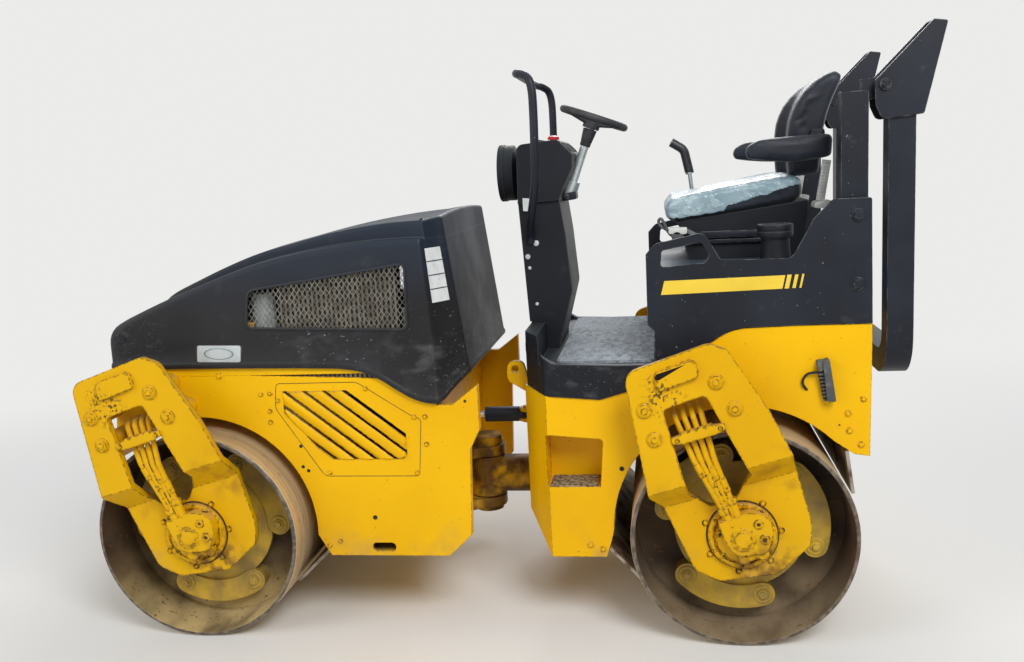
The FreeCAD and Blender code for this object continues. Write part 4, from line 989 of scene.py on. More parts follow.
hood_shell = moulded_shell("hood_shell", plan_points(hood_plan, 16), hood_foot, shoulder_height, hood_fillet)
window_cutters = bmesh.new()
add_slabs(window_cutters, rounded(side_window, 24, 6), 480, 560)
window_cutter = new_piece("window_cutter", window_cutters, hood_plastic, None)
cut = hood_shell.modifiers.new("windows", "BOOLEAN")
cut.object = window_cutter
cut.solver = "EXACT"
own_mesh(hood_shell)
bpy.data.objects.remove(window_cutter)
join_doubles(hood_shell)
raised_deck = moulded_shell("raised_deck", plan_points(deck_plan, 16), deck_foot, deck_height, lambda here: 13)
own_mesh(raised_deck)
join_doubles(raised_deck)
whole = bmesh.new()
whole.from_mesh(hood_shell.data)
whole.from_mesh(raised_deck.data)
bpy.data.objects.remove(raised_deck)
whole.to_mesh(hood_shell.data)
whole.free()
hood_shell.data.materials.clear()
hood_shell.data.materials.append(hood_plastic)
hood_shell.data.polygons.foreach_set("material_index", [0] * len(hood_shell.data.polygons))
shade(hood_shell.data, 38)
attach(hood_shell, "hood")
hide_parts("hood")

# Hood dress: a rolled trim round each window, the hinge bolt in the nose, and self-adhesive plates that are
# left blank. The plate on the side is brushed aluminium with a printed oval; the rear one is white film.
hood_face_y = 516


def add_roll(bm, points, radius, y_middle, sides=10):
    """A round bead that follows a closed line in x and z."""
    count = len(points)
    rings = []
    for i in range(count):
        way = (Vector(points[(i + 1) % count]) - Vector(points[i - 1])).normalized()
        out = Vector((-way.y, way.x))
        ring = []
        for k in range(sides):
            angle = 2 * math.pi * k / sides
            spot = Vector(points[i]) + out * radius * math.cos(angle)
            ring.append(bm.verts.new(at(spot.x, y_middle + radius * math.sin(angle), spot.y)))
        rings.append(ring)
    for i in range(count):
        for k in range(sides):
            n = (k + 1) % sides
            bm.faces.new((rings[i - 1][k], rings[i - 1][n], rings[i][n], rings[i][k]))


trims = bmesh.new()
for side in (-1, 1):
    add_roll(trims, rounded(side_window, 24, 6), 4.5, side * (hood_face_y + 0.5))
new_piece("window_trim", trims, hood_plastic, "hood", 80)


def printed_film(name, base, print_colour, centre=None, spans=None):
    """Pale plate or film; with a centre, a plain oval ring is printed on it."""
    material, tree, shader, place, colour = clouded(name, 0.38, 0, (30, 0.4, 0.7), base,
                                                    tuple(c * 0.86 for c in base))
    colour = tint(tree, patches(tree, place, 120, 0.68, 0.74), colour, (0.2, 0.18, 0.15))
    if centre:
        spread = grow(tree, "ShaderNodeMapping", {
            "Vector": place, "Location": centre, "Rotation": (0, math.radians(2), 0),
            "Scale": (spans[0], 1, spans[1])}, vector_type="TEXTURE")
        distance = away_from(tree, spread.outputs["Vector"], (0, 0, 0))
        ring = times(tree, ramp(tree, distance, 0.86, 0.9), ramp(tree, distance, 1.0, 1.04, 1, 0))
        colour = tint(tree, ring, colour, print_colour)
    tree.links.new(colour, shader.inputs["Base Color"])
    return material


plate_film = printed_film("side_plate_film", (0.5, 0.54, 0.54), (0.16, 0.22, 0.23), at(-795, 0, 962),
                          (0.052, 0.019))
white_film = printed_film("white_label_film", (0.76, 0.78, 0.78), (0.5, 0.5, 0.5))
dark_film = plain_dark("dark_label_film", (0.03, 0.032, 0.036), 0.5)
side_plates = bmesh.new()
plate_backs = bmesh.new()
plate_corners = [(-872, 994), (-711, 990), (-717, 931), (-878, 935)]
plate_middle = Vector((-794.5, 962.5))
plate_inner = [tuple(plate_middle + (Vector(c) - plate_middle) * 0.94) for c in plate_corners]
add_slabs(plate_backs, rounded(plate_corners, 9), hood_face_y - 0.5, hood_face_y + 1.2, 0.5)
add_slabs(side_plates, rounded(plate_inner, 7), hood_face_y + 1, hood_face_y + 1.9, 0.3)
new_piece("side_plate_edge", plate_backs, dark_film, "hood")
new_piece("side_plate", side_plates, plate_film, "hood")

chamfer_start = Vector((-62, 516))
chamfer_end = Vector((26, 395))
chamfer_way = (chamfer_end - chamfer_start).normalized()
chamfer_out = Vector((-chamfer_way.y, chamfer_way.x))


def add_chamfer_plate(bm, near, far, z0, z1, proud, thick):
    """A plate on the hood's swept corner, between two distances from its front edge, on both sides."""
    for side in (-1, 1):
        corners = []
        for d in (near, far):
            for layer in (proud, proud + thick):
                spot = chamfer_start + chamfer_way * d + chamfer_out * layer
                corners.append(spot)
        block = []
        for z in (z0, z1):
            block.append([bm.verts.new(at(leaned(c.x, z), side * c.y, z)) for c in corners])
        low, high = block
        for quad in ((low[0], low[2], low[3], low[1]), (high[0], high[1], high[3], high[2]),
                     (low[0], low[1], high[1], high[0]), (low[2], high[2], high[3], low[3]),
                     (low[0], high[0], high[2], low[2]), (low[1], low[3], high[3], high[1])):
            bm.faces.new(quad)


rear_label = bmesh.new()
add_chamfer_plate(rear_label, 28, 116, 1108, 1284, -1, 2.4)
new_piece("rear_label", rear_label, white_film, "hood")
label_bands = bmesh.new()
for z in (1150, 1195, 1240):
    add_chamfer_plate(label_bands, 29, 115, z, z + 3, 1, 1)
new_piece("rear_label_bands", label_bands, dark_film, "hood")

nose_bolt = bmesh.new()
for side in (-1, 1):
    add_turned(nose_bolt, at(-1134, side * 504, 1018), (0, side, 0),
               [(0, 15), (8, 15), (9, 13), (9, 10), (13, 9.5), (14, 8), (14, 4), (12, 3.5), (12, 0)], 24)
grey_steel = bare_steel("nose_bolt_steel")
new_piece("nose_bolts", nose_bolt, grey_steel, "hood")


# Black steelwork: side panels, posts and the folded hoop are plate and box section in satin black paint,
# chipped along their cut edges. The window mesh is expanded wire, worn to bare metal on its crests.
def black_steel_paint(name, roughness):
    """Satin black paint with pale scratches at the edges, painted paler and bluer on upward faces as sky light."""
    material, tree, shader, place = blank_finish(name, roughness, gloss=0.24)
    cloud = patches(tree, place, 4, 0.35, 0.7)
    colour = tint(tree, cloud, (0.0075, 0.0095, 0.015), (0.014, 0.017, 0.026))
    # Upward faces are painted paler and bluer: painted sky light.
    colour = tint(tree, times(tree, facing_up(tree, 0.2, 0.9), 0.5), colour, (0.035, 0.042, 0.055))
    dust = patches(tree, place, 22, 0.62, 0.86)
    colour = tint(tree, times(tree, dust, 0.3), colour, (0.12, 0.115, 0.105))
    edge, softened = edges_for_wear_and_highlight(tree, 0.0035)
    chips = times(tree, edge, patches(tree, place, 36, 0.42, 0.56))
    colour = tint(tree, times(tree, chips, 0.75), colour, (0.27, 0.265, 0.26))
    specks = patches(tree, place, 95, 0.725, 0.74)
    colour = tint(tree, times(tree, specks, 0.7), colour, (0.34, 0.34, 0.34))
    tree.links.new(colour, shader.inputs["Base Color"])
    relief(tree, shader, patches(tree, place, 260, 0.35, 0.65), 0.06, 0.0008, softened)
    return material


def wire_metal():
    """Grey wire with dust between its crossings."""
    return clouded("window_wire", 0.45, 0.5, (24, 0.35, 0.65), (0.3, 0.285, 0.25), (0.13, 0.125, 0.11))[0]


post_paint = black_steel_paint("post_black_paint", 0.42)
for part in ("side_panel_left", "side_panel_right", "roof_posts", "roof_hoop",
             "hood_hinges", "engine", "cylinder_barrel"):
    finish_node(part, post_paint)
finish_node("hood_grilles", wire_metal())

panel_bolts = [(1253, 1335), (1250, 1129)]
bolt_pattern("panel_bolts", both_sides(510, 21, panel_bolts), post_paint, "rear_frame", 7)
bolt_pattern("hoop_pivot_bolts", both_sides(501, 17, [(1329, 1712)]), post_paint, "roof_hoop", 8)

stripe_yellow, stripe_tree, stripe_shader, stripe_place, stripe_mix = clouded(
    "stripe_yellow_film", 0.4, 0, (7, 0.35, 0.75), (0.8, 0.56, 0.04), (0.7, 0.48, 0.035))
stripe_specks = patches(stripe_tree, stripe_place, 90, 0.7, 0.74)
stripe_tree.links.new(tint(stripe_tree, stripe_specks, stripe_mix, (0.07, 0.06, 0.03)),
                      stripe_shader.inputs["Base Color"])
stripes = bmesh.new()
for outline in ([(665, 1113), (676, 1156), (1040, 1162), (1031, 1121)],
                [(1037, 1121), (1046, 1163), (1059, 1163), (1050, 1121)],
                [(1060, 1122), (1069, 1163), (1079, 1163), (1070, 1122)],
                [(1081, 1122), (1090, 1164), (1096, 1164), (1087, 1122)]):
    add_slabs(stripes, outline, 509.6, 510.6)
new_piece("side_stripes", stripes, stripe_yellow, "rear_frame")


# Platform: a ribbed rubber mat gone grey with dust, a dirty tread in each step pocket, and the comb block
# and hook on the rear frame's side.
def dusty_mat():
    """Speckled grey rubber with short ripples."""
    material, tree, shader, place = blank_finish("mat_grey_rubber", 0.8)
    ripples = patches(tree, place, 55, 0.35, 0.65, (1, 0.35, 1))
    colour = tint(tree, ripples, (0.11, 0.13, 0.155), (0.29, 0.325, 0.36))
    colour = tint(tree, patches(tree, place, 7, 0.4, 0.7), colour, (0.24, 0.27, 0.3))
    colour = tint(tree, patches(tree, place, 150, 0.6, 0.7), colour, (0.52, 0.53, 0.53))
    tree.links.new(colour, shader.inputs["Base Color"])
    relief(tree, shader, ripples, 0.55, 0.004)
    return material


def step_dirt():
    """Grit and mud trodden into a steel tread."""
    material, tree, shader, place = blank_finish("step_dirt", 0.9)
    colour = tint(tree, patches(tree, place, 70, 0.4, 0.6), (0.1, 0.07, 0.035), (0.36, 0.29, 0.19))
    colour = tint(tree, patches(tree, place, 12, 0.5, 0.7), colour, (0.24, 0.15, 0.04))
    tree.links.new(colour, shader.inputs["Base Color"])
    relief(tree, shader, patches(tree, place, 110, 0.3, 0.7), 0.8, 0.004)
    return material


finish_node("floor_mat", dusty_mat())
treads = bmesh.new()
for side in (-1, 1):
    columns = 34
    rows_deep = 26
    grid = []
    for i in range(columns + 1):
        line = []
        for j in range(rows_deep + 1):
            x = 292 + 158 * i / columns
            y = 503 - 120 * j / rows_deep
            lump = noise.noise(Vector((x * 0.09, y * 0.09, side * 3.0))) + 0.5 * noise.noise(Vector((x, y, 7)) * 0.25)
            border = min(i, columns - i, j, rows_deep - j)
            height = 496.5 + (2.2 + 2.0 * lump if border else 0)
            line.append(treads.verts.new(at(x, side * y, height)))
        grid.append(line)
    for i in range(columns):
        for j in range(rows_deep):
            treads.faces.new((grid[i][j], grid[i + 1][j], grid[i + 1][j + 1], grid[i][j + 1]))
    rim = [grid[i][0] for i in range(columns + 1)] + [grid[columns][j] for j in range(1, rows_deep + 1)]
    rim += [grid[i][rows_deep] for i in range(columns - 1, -1, -1)] + [grid[0][j] for j in range(rows_deep - 1, 0, -1)]
    under = [treads.verts.new(v.co - Vector((0, 0, 0.003))) for v in rim]
    for k in range(len(rim)):
        treads.faces.new((rim[k - 1], rim[k], under[k], under[k - 1]))
    treads.faces.new(under)
new_piece("step_treads", treads, step_dirt(), "rear_frame", 60)


def grey_rubber(name, dark, pale):
    """Rubber or soft plastic with dust in its grain."""
    material, tree, shader, place, _ = clouded(name, 0.62, 0, (30, 0.45, 0.75), dark, pale)
    softened = edges_for_wear_and_highlight(tree, 0.003)[1]
    relief(tree, shader, patches(tree, place, 300, 0.3, 0.7), 0.15, 0.0006, softened)
    return material


comb_grey = grey_rubber("comb_grey_plastic", (0.06, 0.062, 0.066), (0.14, 0.14, 0.14))
comb = bmesh.new()
add_slabs(comb, rounded([(1146, 899), (1166, 905), (1186, 771), (1160, 772)], 5), 503, 536, 2)
add_slabs(comb, rounded([(1129, 897), (1147, 901), (1150, 868), (1134, 864)], 4), 503, 530, 1.5)
for k in range(8):
    z = 858 - 11.5 * k
    x = 1134 + 2.3 * k
    add_slabs(comb, [(x, z), (x + 20, z + 1), (x + 20, z - 5), (x + 1, z - 6)], 503, 528, 1)
new_piece("side_combs", comb, comb_grey, "rear_frame")


def add_tube(bm, points, radius, sides=12):
    """A round bar along a smooth line through points."""
    stations = []
    count = len(points)
    for i in range(count - 1):
        p0 = points[max(i - 1, 0)]
        p1, p2 = points[i], points[i + 1]
        p3 = points[min(i + 2, count - 1)]
        for k in range(6):
            t = k / 6
            stations.append(0.5 * ((2 * p1) + (p2 - p0) * t + (2 * p0 - 5 * p1 + 4 * p2 - p3) * t * t
                                   + (3 * p1 - 3 * p2 + p3 - p0) * t ** 3))
    stations.append(points[-1])
    normal = (stations[1] - stations[0]).orthogonal().normalized()
    rings = []
    for i, spot in enumerate(stations):
        way = (stations[min(i + 1, len(stations) - 1)] - stations[max(i - 1, 0)]).normalized()
        normal = (normal - way * normal.dot(way)).normalized()
        other = way.cross(normal)
        rings.append([bm.verts.new(spot + (normal * math.cos(a) + other * math.sin(a)) * radius / 1000)
                      for a in [2 * math.pi * k / sides for k in range(sides)]])
    for a, b in zip(rings, rings[1:]):
        for k in range(sides):
            n = (k + 1) % sides
            bm.faces.new((a[k], a[n], b[n], b[k]))
    bm.faces.new(rings[0])
    bm.faces.new(rings[-1])


hooks = bmesh.new()
for side in (-1, 1):
    line = [(1136, 522, 861), (1118, 520, 860), (1100, 516, 853), (1089, 514, 832), (1094, 512, 815), (1103, 504, 803)]
    add_tube(hooks, [at(x, side * y, z) for x, y, z in line], 4)
new_piece("side_hooks", hooks, hole_shade_and_hook_black, "rear_frame")

# Hand rail: one round steel tube of 28 mm, bent into two legs and a bar across behind the console. The legs
# lean out and forward to the pillar's sides, where they are welded.
rail = bmesh.new()
rail_leg = [(224, 176, 1266), (227, 186, 1292), (233, 225, 1332), (246, 268, 1386), (258, 296, 1440), (266, 310, 1500),
            (269, 317, 1600), (270, 317, 1700), (268, 316, 1768), (258, 309, 1806), (238, 288, 1822), (218, 262, 1828),
            (207, 220, 1833), (204, 150, 1836), (203, 60, 1836)]
rail_line = [at(x, -y, z) for x, y, z in rail_leg] + [at(x, y, z) for x, y, z in rail_leg[::-1]]
add_tube(rail, rail_line, 14, 20)
rail_piece = new_piece("rail_tube", rail, post_paint, "rear_frame", 60)
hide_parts("hand_rail")

# Console: pillar bolts, two small blank labels, the gauges and switches on the dash, the round stop button,
# and the lamp's bezel and ribbed glass, which look forward over the hood.
def plated_steel(name, metal, colour, dull):
    """Plated or galvanised metal with clouded wear."""
    material, tree, shader, place, _ = clouded(name, 0.35, metal, (20, 0.4, 0.75), colour, dull)
    dull_spots = ramp(tree, patches(tree, place, 34, 0.3, 0.7), 0, 1, 0.25, 0.5)
    tree.links.new(dull_spots, shader.inputs["Roughness"])
    relief(tree, shader, patches(tree, place, 200, 0.3, 0.7), 0.06, 0.0006)
    return material


bolt_zinc = plated_steel("console_bolt_zinc", 0.5, (0.62, 0.64, 0.64), (0.42, 0.44, 0.44))
bolt_pattern("console_bolts", [(at(x, side * 172, z), (0, side, 0), r) for side in (-1, 1)
                               for x, z, r in ((242, 1263, 10), (211, 1217, 9), (216, 1178, 6), (236, 1051, 6))],
             bolt_zinc, "rear_frame", 9)
console_label = bmesh.new()
add_slabs(console_label, [(204, 1420), (230, 1418), (228, 1374), (204, 1376)], 184.6, 185.8)
new_piece("console_labels", console_label, white_film, "rear_frame")

red_plastic = clouded("stop_button_red", 0.35, 0, (60, 0.45, 0.8), (0.5, 0.016, 0.02), (0.3, 0.02, 0.02))[0]
button = bmesh.new()
add_turned(button, at(306, -62, 1604), (0.05, 0, 1), [(0, 0), (0, 12), (10, 12), (10, 20), (15, 21), (21, 18),
                                                      (24, 10), (25, 0)], 28)
new_piece("stop_button", button, red_plastic, "rear_frame")

dash_kit = bmesh.new()
panel_foot = at(332, 0, 1606)
panel_way = (at(378, 0, 1560) - panel_foot).normalized()
panel_out = Vector((-panel_way.z, 0, panel_way.x))
panel_out = panel_out if panel_out.x > 0 else -panel_out
for y, r, d in ((-120, 24, 30), (-62, 17, 34), (0, 24, 30), (66, 17, 34), (124, 24, 30)):
    spot = panel_foot + panel_way * d / 1000 + Vector((0, y / 1000, 0))
    add_turned(dash_kit, spot - panel_out * 0.003, panel_out, [(0, 0), (0, r), (7, r), (9, r - 2), (9, r - 5),
                                                               (5, r - 6), (5, 0)], 28)
for k in range(6):
    y = -150 + 60 * k
    add_turned(dash_kit, at(262, y, 1601), (0, 0, 1), [(0, 0), (0, 8), (12, 8), (14, 6), (14, 0)], 12)
new_piece("dash_kit", dash_kit, comb_grey, "rear_frame")

lens_glass, lens_tree, lens_shader, lens_place = blank_finish("lamp_lens", 0.12)
lens_ribs = grow(lens_tree, "ShaderNodeTexWave", {"Vector": lens_place, "Scale": 22},
                 bands_direction="Y").outputs["Fac"]
lens_mix = tint(lens_tree, lens_ribs, (0.5, 0.53, 0.55), (0.8, 0.82, 0.83))
lens_tree.links.new(lens_mix, lens_shader.inputs["Base Color"])
lens_shader.inputs["Coat Weight"].default_value = 0.6
relief(lens_tree, lens_shader, lens_ribs, 0.3, 0.002)
lens = bmesh.new()
add_turned(lens, at(113, 0, 1506), (-1, 0, 0), [(0, 0), (0, 84), (2, 84), (5, 60), (7, 30), (7.6, 0)], 48)
new_piece("lamp_lens", lens, lens_glass, "rear_frame", 60)
bezel = bmesh.new()
add_turned(bezel, at(112, 0, 1506), (-1, 0, 0), [(-14, 101), (4, 101), (7, 98), (7, 88), (3, 84), (-2, 84)], 56)
new_piece("lamp_bezel", bezel, cover_plastic, "rear_frame", 50)


# Steering gear: a plated column in a clamp at the pillar's foot, a black shroud under the wheel, and the
# wheel moulded in hard rubber over a steel ring.
galvanised = plated_steel("column_galvanised", 0.6, (0.62, 0.66, 0.66), (0.42, 0.46, 0.46))
rod_chrome = plated_steel("rod_chrome", 1.0, (0.75, 0.75, 0.77), (0.6, 0.6, 0.6))
finish_node("steering_column", galvanised)
finish_node("air_filter", plated_steel("filter_white", 0.0, (0.55, 0.6, 0.6), (0.36, 0.39, 0.4)))
finish_node("cylinder_rod", rod_chrome)
wheel_rubber = grey_rubber("wheel_black_rubber", (0.022, 0.023, 0.026), (0.05, 0.05, 0.052))
finish_node("steering_wheel", wheel_rubber)

column_lean = math.radians(20.5)
column_way = Vector((math.sin(column_lean), 0, math.cos(column_lean)))
column_foot = at(352, 0, 1430)
shroud = bmesh.new()
add_turned(shroud, column_foot + column_way * 0.168, column_way,
           [(0, 15.2), (0, 18), (3, 19), (14, 19), (17, 20), (60, 25), (62, 23), (62, 15.2)], 8)
new_piece("column_shroud", shroud, wheel_rubber, "rear_frame", 50)
foot_clamp = bmesh.new()
add_slab(foot_clamp, rounded([(330, 1398), (378, 1404), (376, 1432), (328, 1424)], 6), -44, 44, 2)
add_turned(foot_clamp, at(343, -44, 1413), (0, -1, 0), [(-2, 9), (9, 9), (11, 7), (11, 0)], 6)
new_piece("column_clamp", foot_clamp, post_paint, "rear_frame")
wheel_cap = bmesh.new()
cap_foot = column_foot + column_way * (0.232 + 0.026 + 0.0123 - 0.004)
add_turned(wheel_cap, cap_foot, column_way, [(-2, 0), (-2, 28), (4, 28), (9, 24), (10, 12), (10, 0)], 32)
new_piece("wheel_cap", wheel_cap, wheel_rubber, "steering_wheel")

grip_foot_z = 1.474
lever_metal, lever_tree, lever_shader, lever_place, grip_mix = clouded(
    "lever_grip_and_shaft", 0.35, 0, (50, 0.5, 0.8), (0.02, 0.021, 0.025), (0.05, 0.05, 0.052))
is_shaft = ramp(lever_tree, part_of(lever_tree, lever_place, "Z"), grip_foot_z - 0.0005, grip_foot_z + 0.0005, 1, 0)
lever_mix = tint(lever_tree, is_shaft, grip_mix, (0.6, 0.61, 0.62))
lever_tree.links.new(lever_mix, lever_shader.inputs["Base Color"])
lever_tree.links.new(is_shaft, lever_shader.inputs["Metallic"])
finish_node("drive_lever", lever_metal)


# Seat: foam pads under black vinyl, glued and sewn, on a steel pan. The cushion still wears the thin clear
# film that it was delivered in, pulled tight over the top and torn along its lower edge.
def seat_vinyl(name):
    """Black vinyl with a leather-like grain, painted paler and bluer on its upward faces as sky light."""
    material, tree, shader, place = blank_finish(name, 0.5, gloss=0.3)
    shader.inputs["Sheen Weight"].default_value = 0.12
    shader.inputs["Sheen Roughness"].default_value = 0.5
    colour = tint(tree, patches(tree, place, 6, 0.35, 0.7), (0.006, 0.0085, 0.015), (0.013, 0.018, 0.031))
    # Upward faces are painted paler and bluer: painted sky light.
    colour = tint(tree, times(tree, facing_up(tree, 0.1, 0.9), 0.3), colour, (0.035, 0.042, 0.06))
    tree.links.new(colour, shader.inputs["Base Color"])
    cells = grow(tree, "ShaderNodeTexVoronoi", {"Vector": place, "Scale": 420})
    relief(tree, shader, cells.outputs["Distance"], 0.25, 0.0007)
    return material


def clear_film():
    """Thin clear film over black vinyl, its blue-grey colour a painted reflection, with painted highlights on wrinkles
    and painted shade in creases towards the front.
    """
    material, tree, shader, place = blank_finish("seat_clear_film", 0.34)
    shader.inputs["Coat Weight"].default_value = 0.2
    # The blue-grey colour is a painted reflection; paler wrinkles are painted highlights and darker creases painted
    # shade.
    spread = patches(tree, place, 7, 0.3, 0.7, (1, 2, 1))
    colour = tint(tree, spread, (0.17, 0.265, 0.315), (0.28, 0.38, 0.425))
    wrinkles_and_highlights = patches(tree, place, 34, 0.47, 0.6, (1, 0.35, 1), 3)
    front = ramp(tree, part_of(tree, place, "X"), 0.58, 0.86, 1, 0.25)
    colour = tint(tree, times(tree, times(tree, wrinkles_and_highlights, front), 0.6), colour, (0.47, 0.58, 0.61))
    crease_shade = patches(tree, place, 60, 0.6, 0.68, (1, 0.3, 1), 3)
    colour = tint(tree, times(tree, times(tree, crease_shade, front), 0.45), colour, (0.1, 0.16, 0.2))
    tree.links.new(colour, shader.inputs["Base Color"])
    relief(tree, shader, wrinkles_and_highlights, 0.5, 0.003)
    return material


black_vinyl = seat_vinyl("seat_black_vinyl")


def stuffed(item, voxel, cap, pressure=4.0):
    """Swells a closed pad with a short cloth run in which no point moves more than a cap, then smooths it."""
    remesh = item.modifiers.new("remesh", "REMESH")
    remesh.mode = "VOXEL"
    remesh.voxel_size = voxel
    own_mesh(item)
    rest = [vertex.co.copy() for vertex in item.data.vertices]
    cloth = item.modifiers.new("cloth", "CLOTH")
    cloth.settings.use_pressure = True
    cloth.settings.uniform_pressure_force = pressure
    cloth.settings.effector_weights.gravity = 0
    cloth.point_cache.frame_start = 1
    cloth.point_cache.frame_end = 20
    for step in range(1, 21):
        bpy.context.scene.frame_set(step)
    own_mesh(item)
    bpy.context.scene.frame_set(1)
    for vertex, start in zip(item.data.vertices, rest):
        moved = vertex.co - start
        if moved.length > cap:
            vertex.co = start + moved.normalized() * cap
    finer = item.modifiers.new("finer", "SUBSURF")
    finer.levels = 1
    finer.render_levels = 1
    own_mesh(item)
    item.data.polygons.foreach_set("use_smooth", [True] * len(item.data.polygons))


def pad_from_sections(name, sections):
    """A closed form from like outlines at distances from the middle, not yet stuffed."""
    bm = bmesh.new()
    rings = [[bm.verts.new(at(x, y, z)) for x, z in outline] for y, outline in sections]
    for a, b in zip(rings, rings[1:]):
        for k in range(len(a)):
            bm.faces.new((a[k - 1], a[k], b[k], b[k - 1]))
    bm.faces.new(rings[0])
    bm.faces.new(rings[-1][::-1])
    return new_piece(name, bm, black_vinyl, None)


def drawn_in(outline, share):
    """An outline shrunk towards its middle."""
    middle = sum((Vector(p) for p in outline), Vector((0, 0))) / len(outline)
    return [tuple(middle + (Vector(p) - middle) * share) for p in outline]


cushion_side = rounded([(684, 1320), (680, 1384), (870, 1416), (1060, 1444), (1132, 1452), (1142, 1384),
                        (1050, 1366), (870, 1342)], 26, 5)
crowned = rounded([(682, 1320), (680, 1388), (870, 1422), (1060, 1452), (1132, 1455), (1142, 1384),
                   (1050, 1366), (870, 1342)], 26, 5)
cushion = pad_from_sections("seat_cushion_pad", [
    (-236, drawn_in(cushion_side, 0.86)), (-230, drawn_in(cushion_side, 0.95)), (-208, cushion_side),
    (-110, crowned), (0, crowned), (110, crowned), (208, cushion_side), (230, drawn_in(cushion_side, 0.95)),
    (236, drawn_in(cushion_side, 0.86))])
stuffed(cushion, 0.006, 0.009)
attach(cushion, "rear_frame")
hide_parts("seat_cushion")

film_edge = [(600, 1318), (763, 1322), (869, 1336), (890, 1366), (1134, 1432), (1200, 1450)]


def film_floor(x, y):
    """The height of the film's torn lower edge at a place."""
    for (x0, z0), (x1, z1) in zip(film_edge, film_edge[1:]):
        if x0 <= x <= x1:
            level = z0 + (z1 - z0) * (x - x0) / (x1 - x0)
            break
    else:
        level = 1500
    return level + 5 * noise.noise(Vector((x * 0.03, y * 0.03, 2)))


wrap = bmesh.new()
wrap.from_mesh(cushion.data)
gone = []
for face in wrap.faces:
    middle = face.calc_center_median()
    x = middle.x * 1000 + 126
    if middle.z * 1000 < film_floor(x, middle.y * 1000) or (face.normal.z < -0.5) or x > 1128:
        gone.append(face)
bmesh.ops.delete(wrap, geom=gone, context="FACES")
wrap.normal_update()
for vertex in wrap.verts:
    spot = vertex.co * 22
    ridge = 1 - abs(noise.noise(Vector((spot.x, spot.y * 0.4, spot.z)) + Vector((3, 1, 5)))) * 2
    towards_front = min(max((0.86 - vertex.co.x) / 0.26, 0.15), 1)
    vertex.co = vertex.co + vertex.normal * (0.002 + 0.0022 * towards_front * max(ridge, 0) ** 3)
film = bpy.data.objects.new("seat_film", bpy.data.meshes.new("seat_film"))
wrap.to_mesh(film.data)
wrap.free()
film.data.materials.clear()
film.data.materials.append(clear_film())
film.data.polygons.foreach_set("use_smooth", [True] * len(film.data.polygons))
bpy.context.scene.collection.objects.link(film)
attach(film, "rear_frame")

bolster = [(1090, 1447), (1089, 1520), (1090, 1590), (1095, 1630), (1106, 1662), (1122, 1694), (1146, 1725),
           (1178, 1754), (1210, 1774), (1240, 1784), (1262, 1768), (1247, 1735), (1230, 1700), (1212, 1650), (1198, 1590),
           (1190, 1520), (1183, 1455)]
hollow = [(x + (1236 - x) * 0.22 if k < 10 else x, z) for k, (x, z) in enumerate(bolster)]
back = pad_from_sections("seat_back_pad", [
    (-219, drawn_in(bolster, 0.82)), (-213, drawn_in(bolster, 0.93)), (-200, drawn_in(bolster, 0.985)),
    (-180, bolster), (-150, bolster), (-118, hollow), (0, hollow), (118, hollow), (150, bolster), (180, bolster),
    (200, drawn_in(bolster, 0.985)), (213, drawn_in(bolster, 0.93)), (219, drawn_in(bolster, 0.82))])
stuffed(back, 0.006, 0.0035)
eased_back = bmesh.new()
eased_back.from_mesh(back.data)
for step in range(6):
    bmesh.ops.smooth_vert(eased_back, verts=eased_back.verts, factor=0.5, use_axis_x=True, use_axis_y=True,
                          use_axis_z=True)
eased_back.to_mesh(back.data)
eased_back.free()
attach(back, "rear_frame")
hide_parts("seat_back")

arm_side = rounded([(944, 1534), (952, 1556), (990, 1574), (1097, 1576), (1205, 1582), (1216, 1570), (1212, 1512),
                    (1097, 1499), (952, 1515)], 12, 4)
for side, name in ((-1, "arm_pad_left"), (1, "arm_pad_right")):
    arm = pad_from_sections(name, [(side * y, drawn_in(arm_side, share)) for y, share in
                                   ((251, 0.9), (256, 0.97), (266, 1), (284, 1), (293, 0.97), (298, 0.9))])
    stuffed(arm, 0.005, 0.005)
    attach(arm, "rear_frame")
    if side < 0:
        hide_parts("arm_rests")

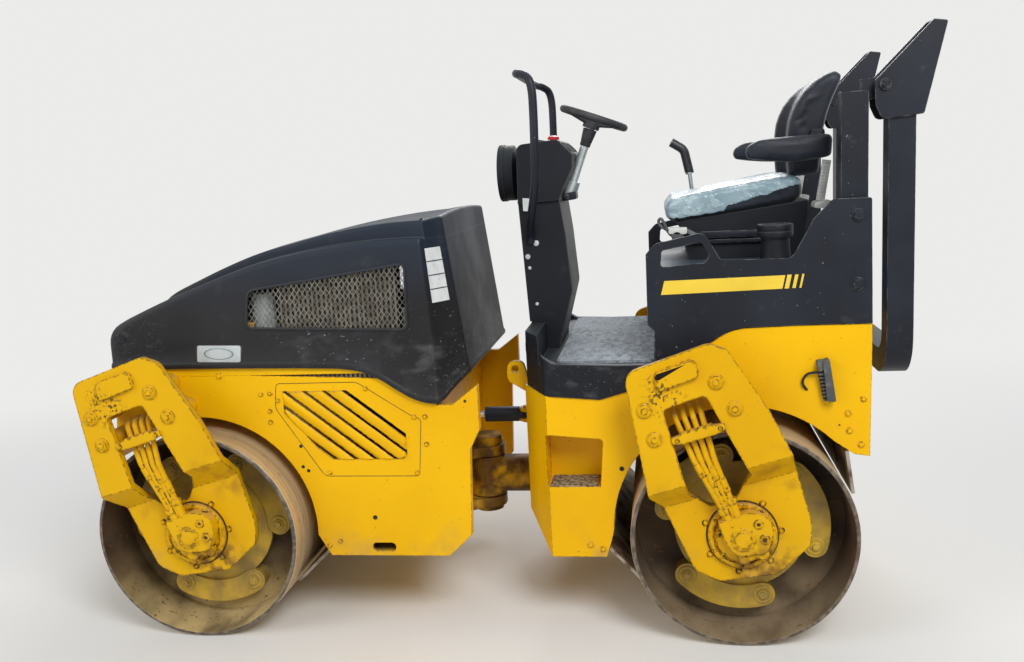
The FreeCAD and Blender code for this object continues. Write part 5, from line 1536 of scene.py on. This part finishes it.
# Seat fittings: each arm swings on a bracket from the back's frame, a ribbed strap of grey steel holds it up
# from the pan, rails run under the cushion, and a belt buckle lies beside it.
arm_bracket = bmesh.new()
add_slabs(arm_bracket, rounded([(1152, 1546), (1152, 1600), (1194, 1600), (1194, 1546)], 10), 222, 268, 2)
add_slabs(arm_bracket, rounded([(766, 1262), (766, 1284), (990, 1284), (990, 1262)], 4), 208, 232, 2)
add_slabs(arm_bracket, [(756, 1244), (756, 1256), (1060, 1256), (1060, 1244)], 208, 226, 1)
for side in (-1, 1):
    add_turned(arm_bracket, at(1174, side * 268, 1573), (0, side, 0), [(-2, 13), (6, 13), (9, 10), (9, 0)], 6)
new_piece("seat_rails_and_brackets", arm_bracket, post_paint, "rear_frame")

grey_strap = plated_steel("strap_grey_steel", 0.1, (0.62, 0.63, 0.6), (0.46, 0.46, 0.44))
strap = bmesh.new()
strap_low = Vector((1179, 1372))
strap_high = Vector((1200, 1500))
strap_way = (strap_high - strap_low).normalized()
strap_across = Vector((strap_way.y, -strap_way.x))


def along_strap(start, end, half_width):
    """A strip of the strap between two distances from its foot."""
    return [tuple(strap_low + strap_way * u + strap_across * v)
            for u, v in ((start, -half_width), (end, -half_width), (end, half_width), (start, half_width))]


add_slabs(strap, along_strap(0, (strap_high - strap_low).length, 13), 262, 276, 1.5)
for k in range(12):
    add_slabs(strap, along_strap(7.4 + 10.2 * k, 12.6 + 10.2 * k, 9), 275, 280, 1)
add_slabs(strap, rounded([(1158, 1350), (1162, 1368), (1200, 1374), (1214, 1371), (1208, 1345)], 5), 206, 284, 2)
new_piece("arm_straps", strap, grey_strap, "rear_frame")

buckle = bmesh.new()
add_slab(buckle, rounded([(694, 1284), (697, 1304), (756, 1303), (754, 1281)], 5), -272, -246, 2.5)
new_piece("belt_buckle", buckle, grey_strap, "rear_frame")
belt = bmesh.new()
add_slab(belt, rounded([(746, 1288), (752, 1300), (800, 1274), (796, 1262)], 3), -268, -208, 1)
add_turned(belt, at(722, -259, 1274), (0, -1, 0), [(-14, 0), (-14, 18), (10, 18), (13, 15), (13, 0)], 20)
add_tube(belt, [at(706, -259, 1276), at(694, -259, 1290), at(682, -262, 1318), at(672, -262, 1334),
                at(664, -258, 1328), at(668, -254, 1312), at(690, -252, 1296)], 5)
new_piece("belt_stub", belt, comb_grey, "rear_frame")

bpy.data.objects.remove(hex_head)
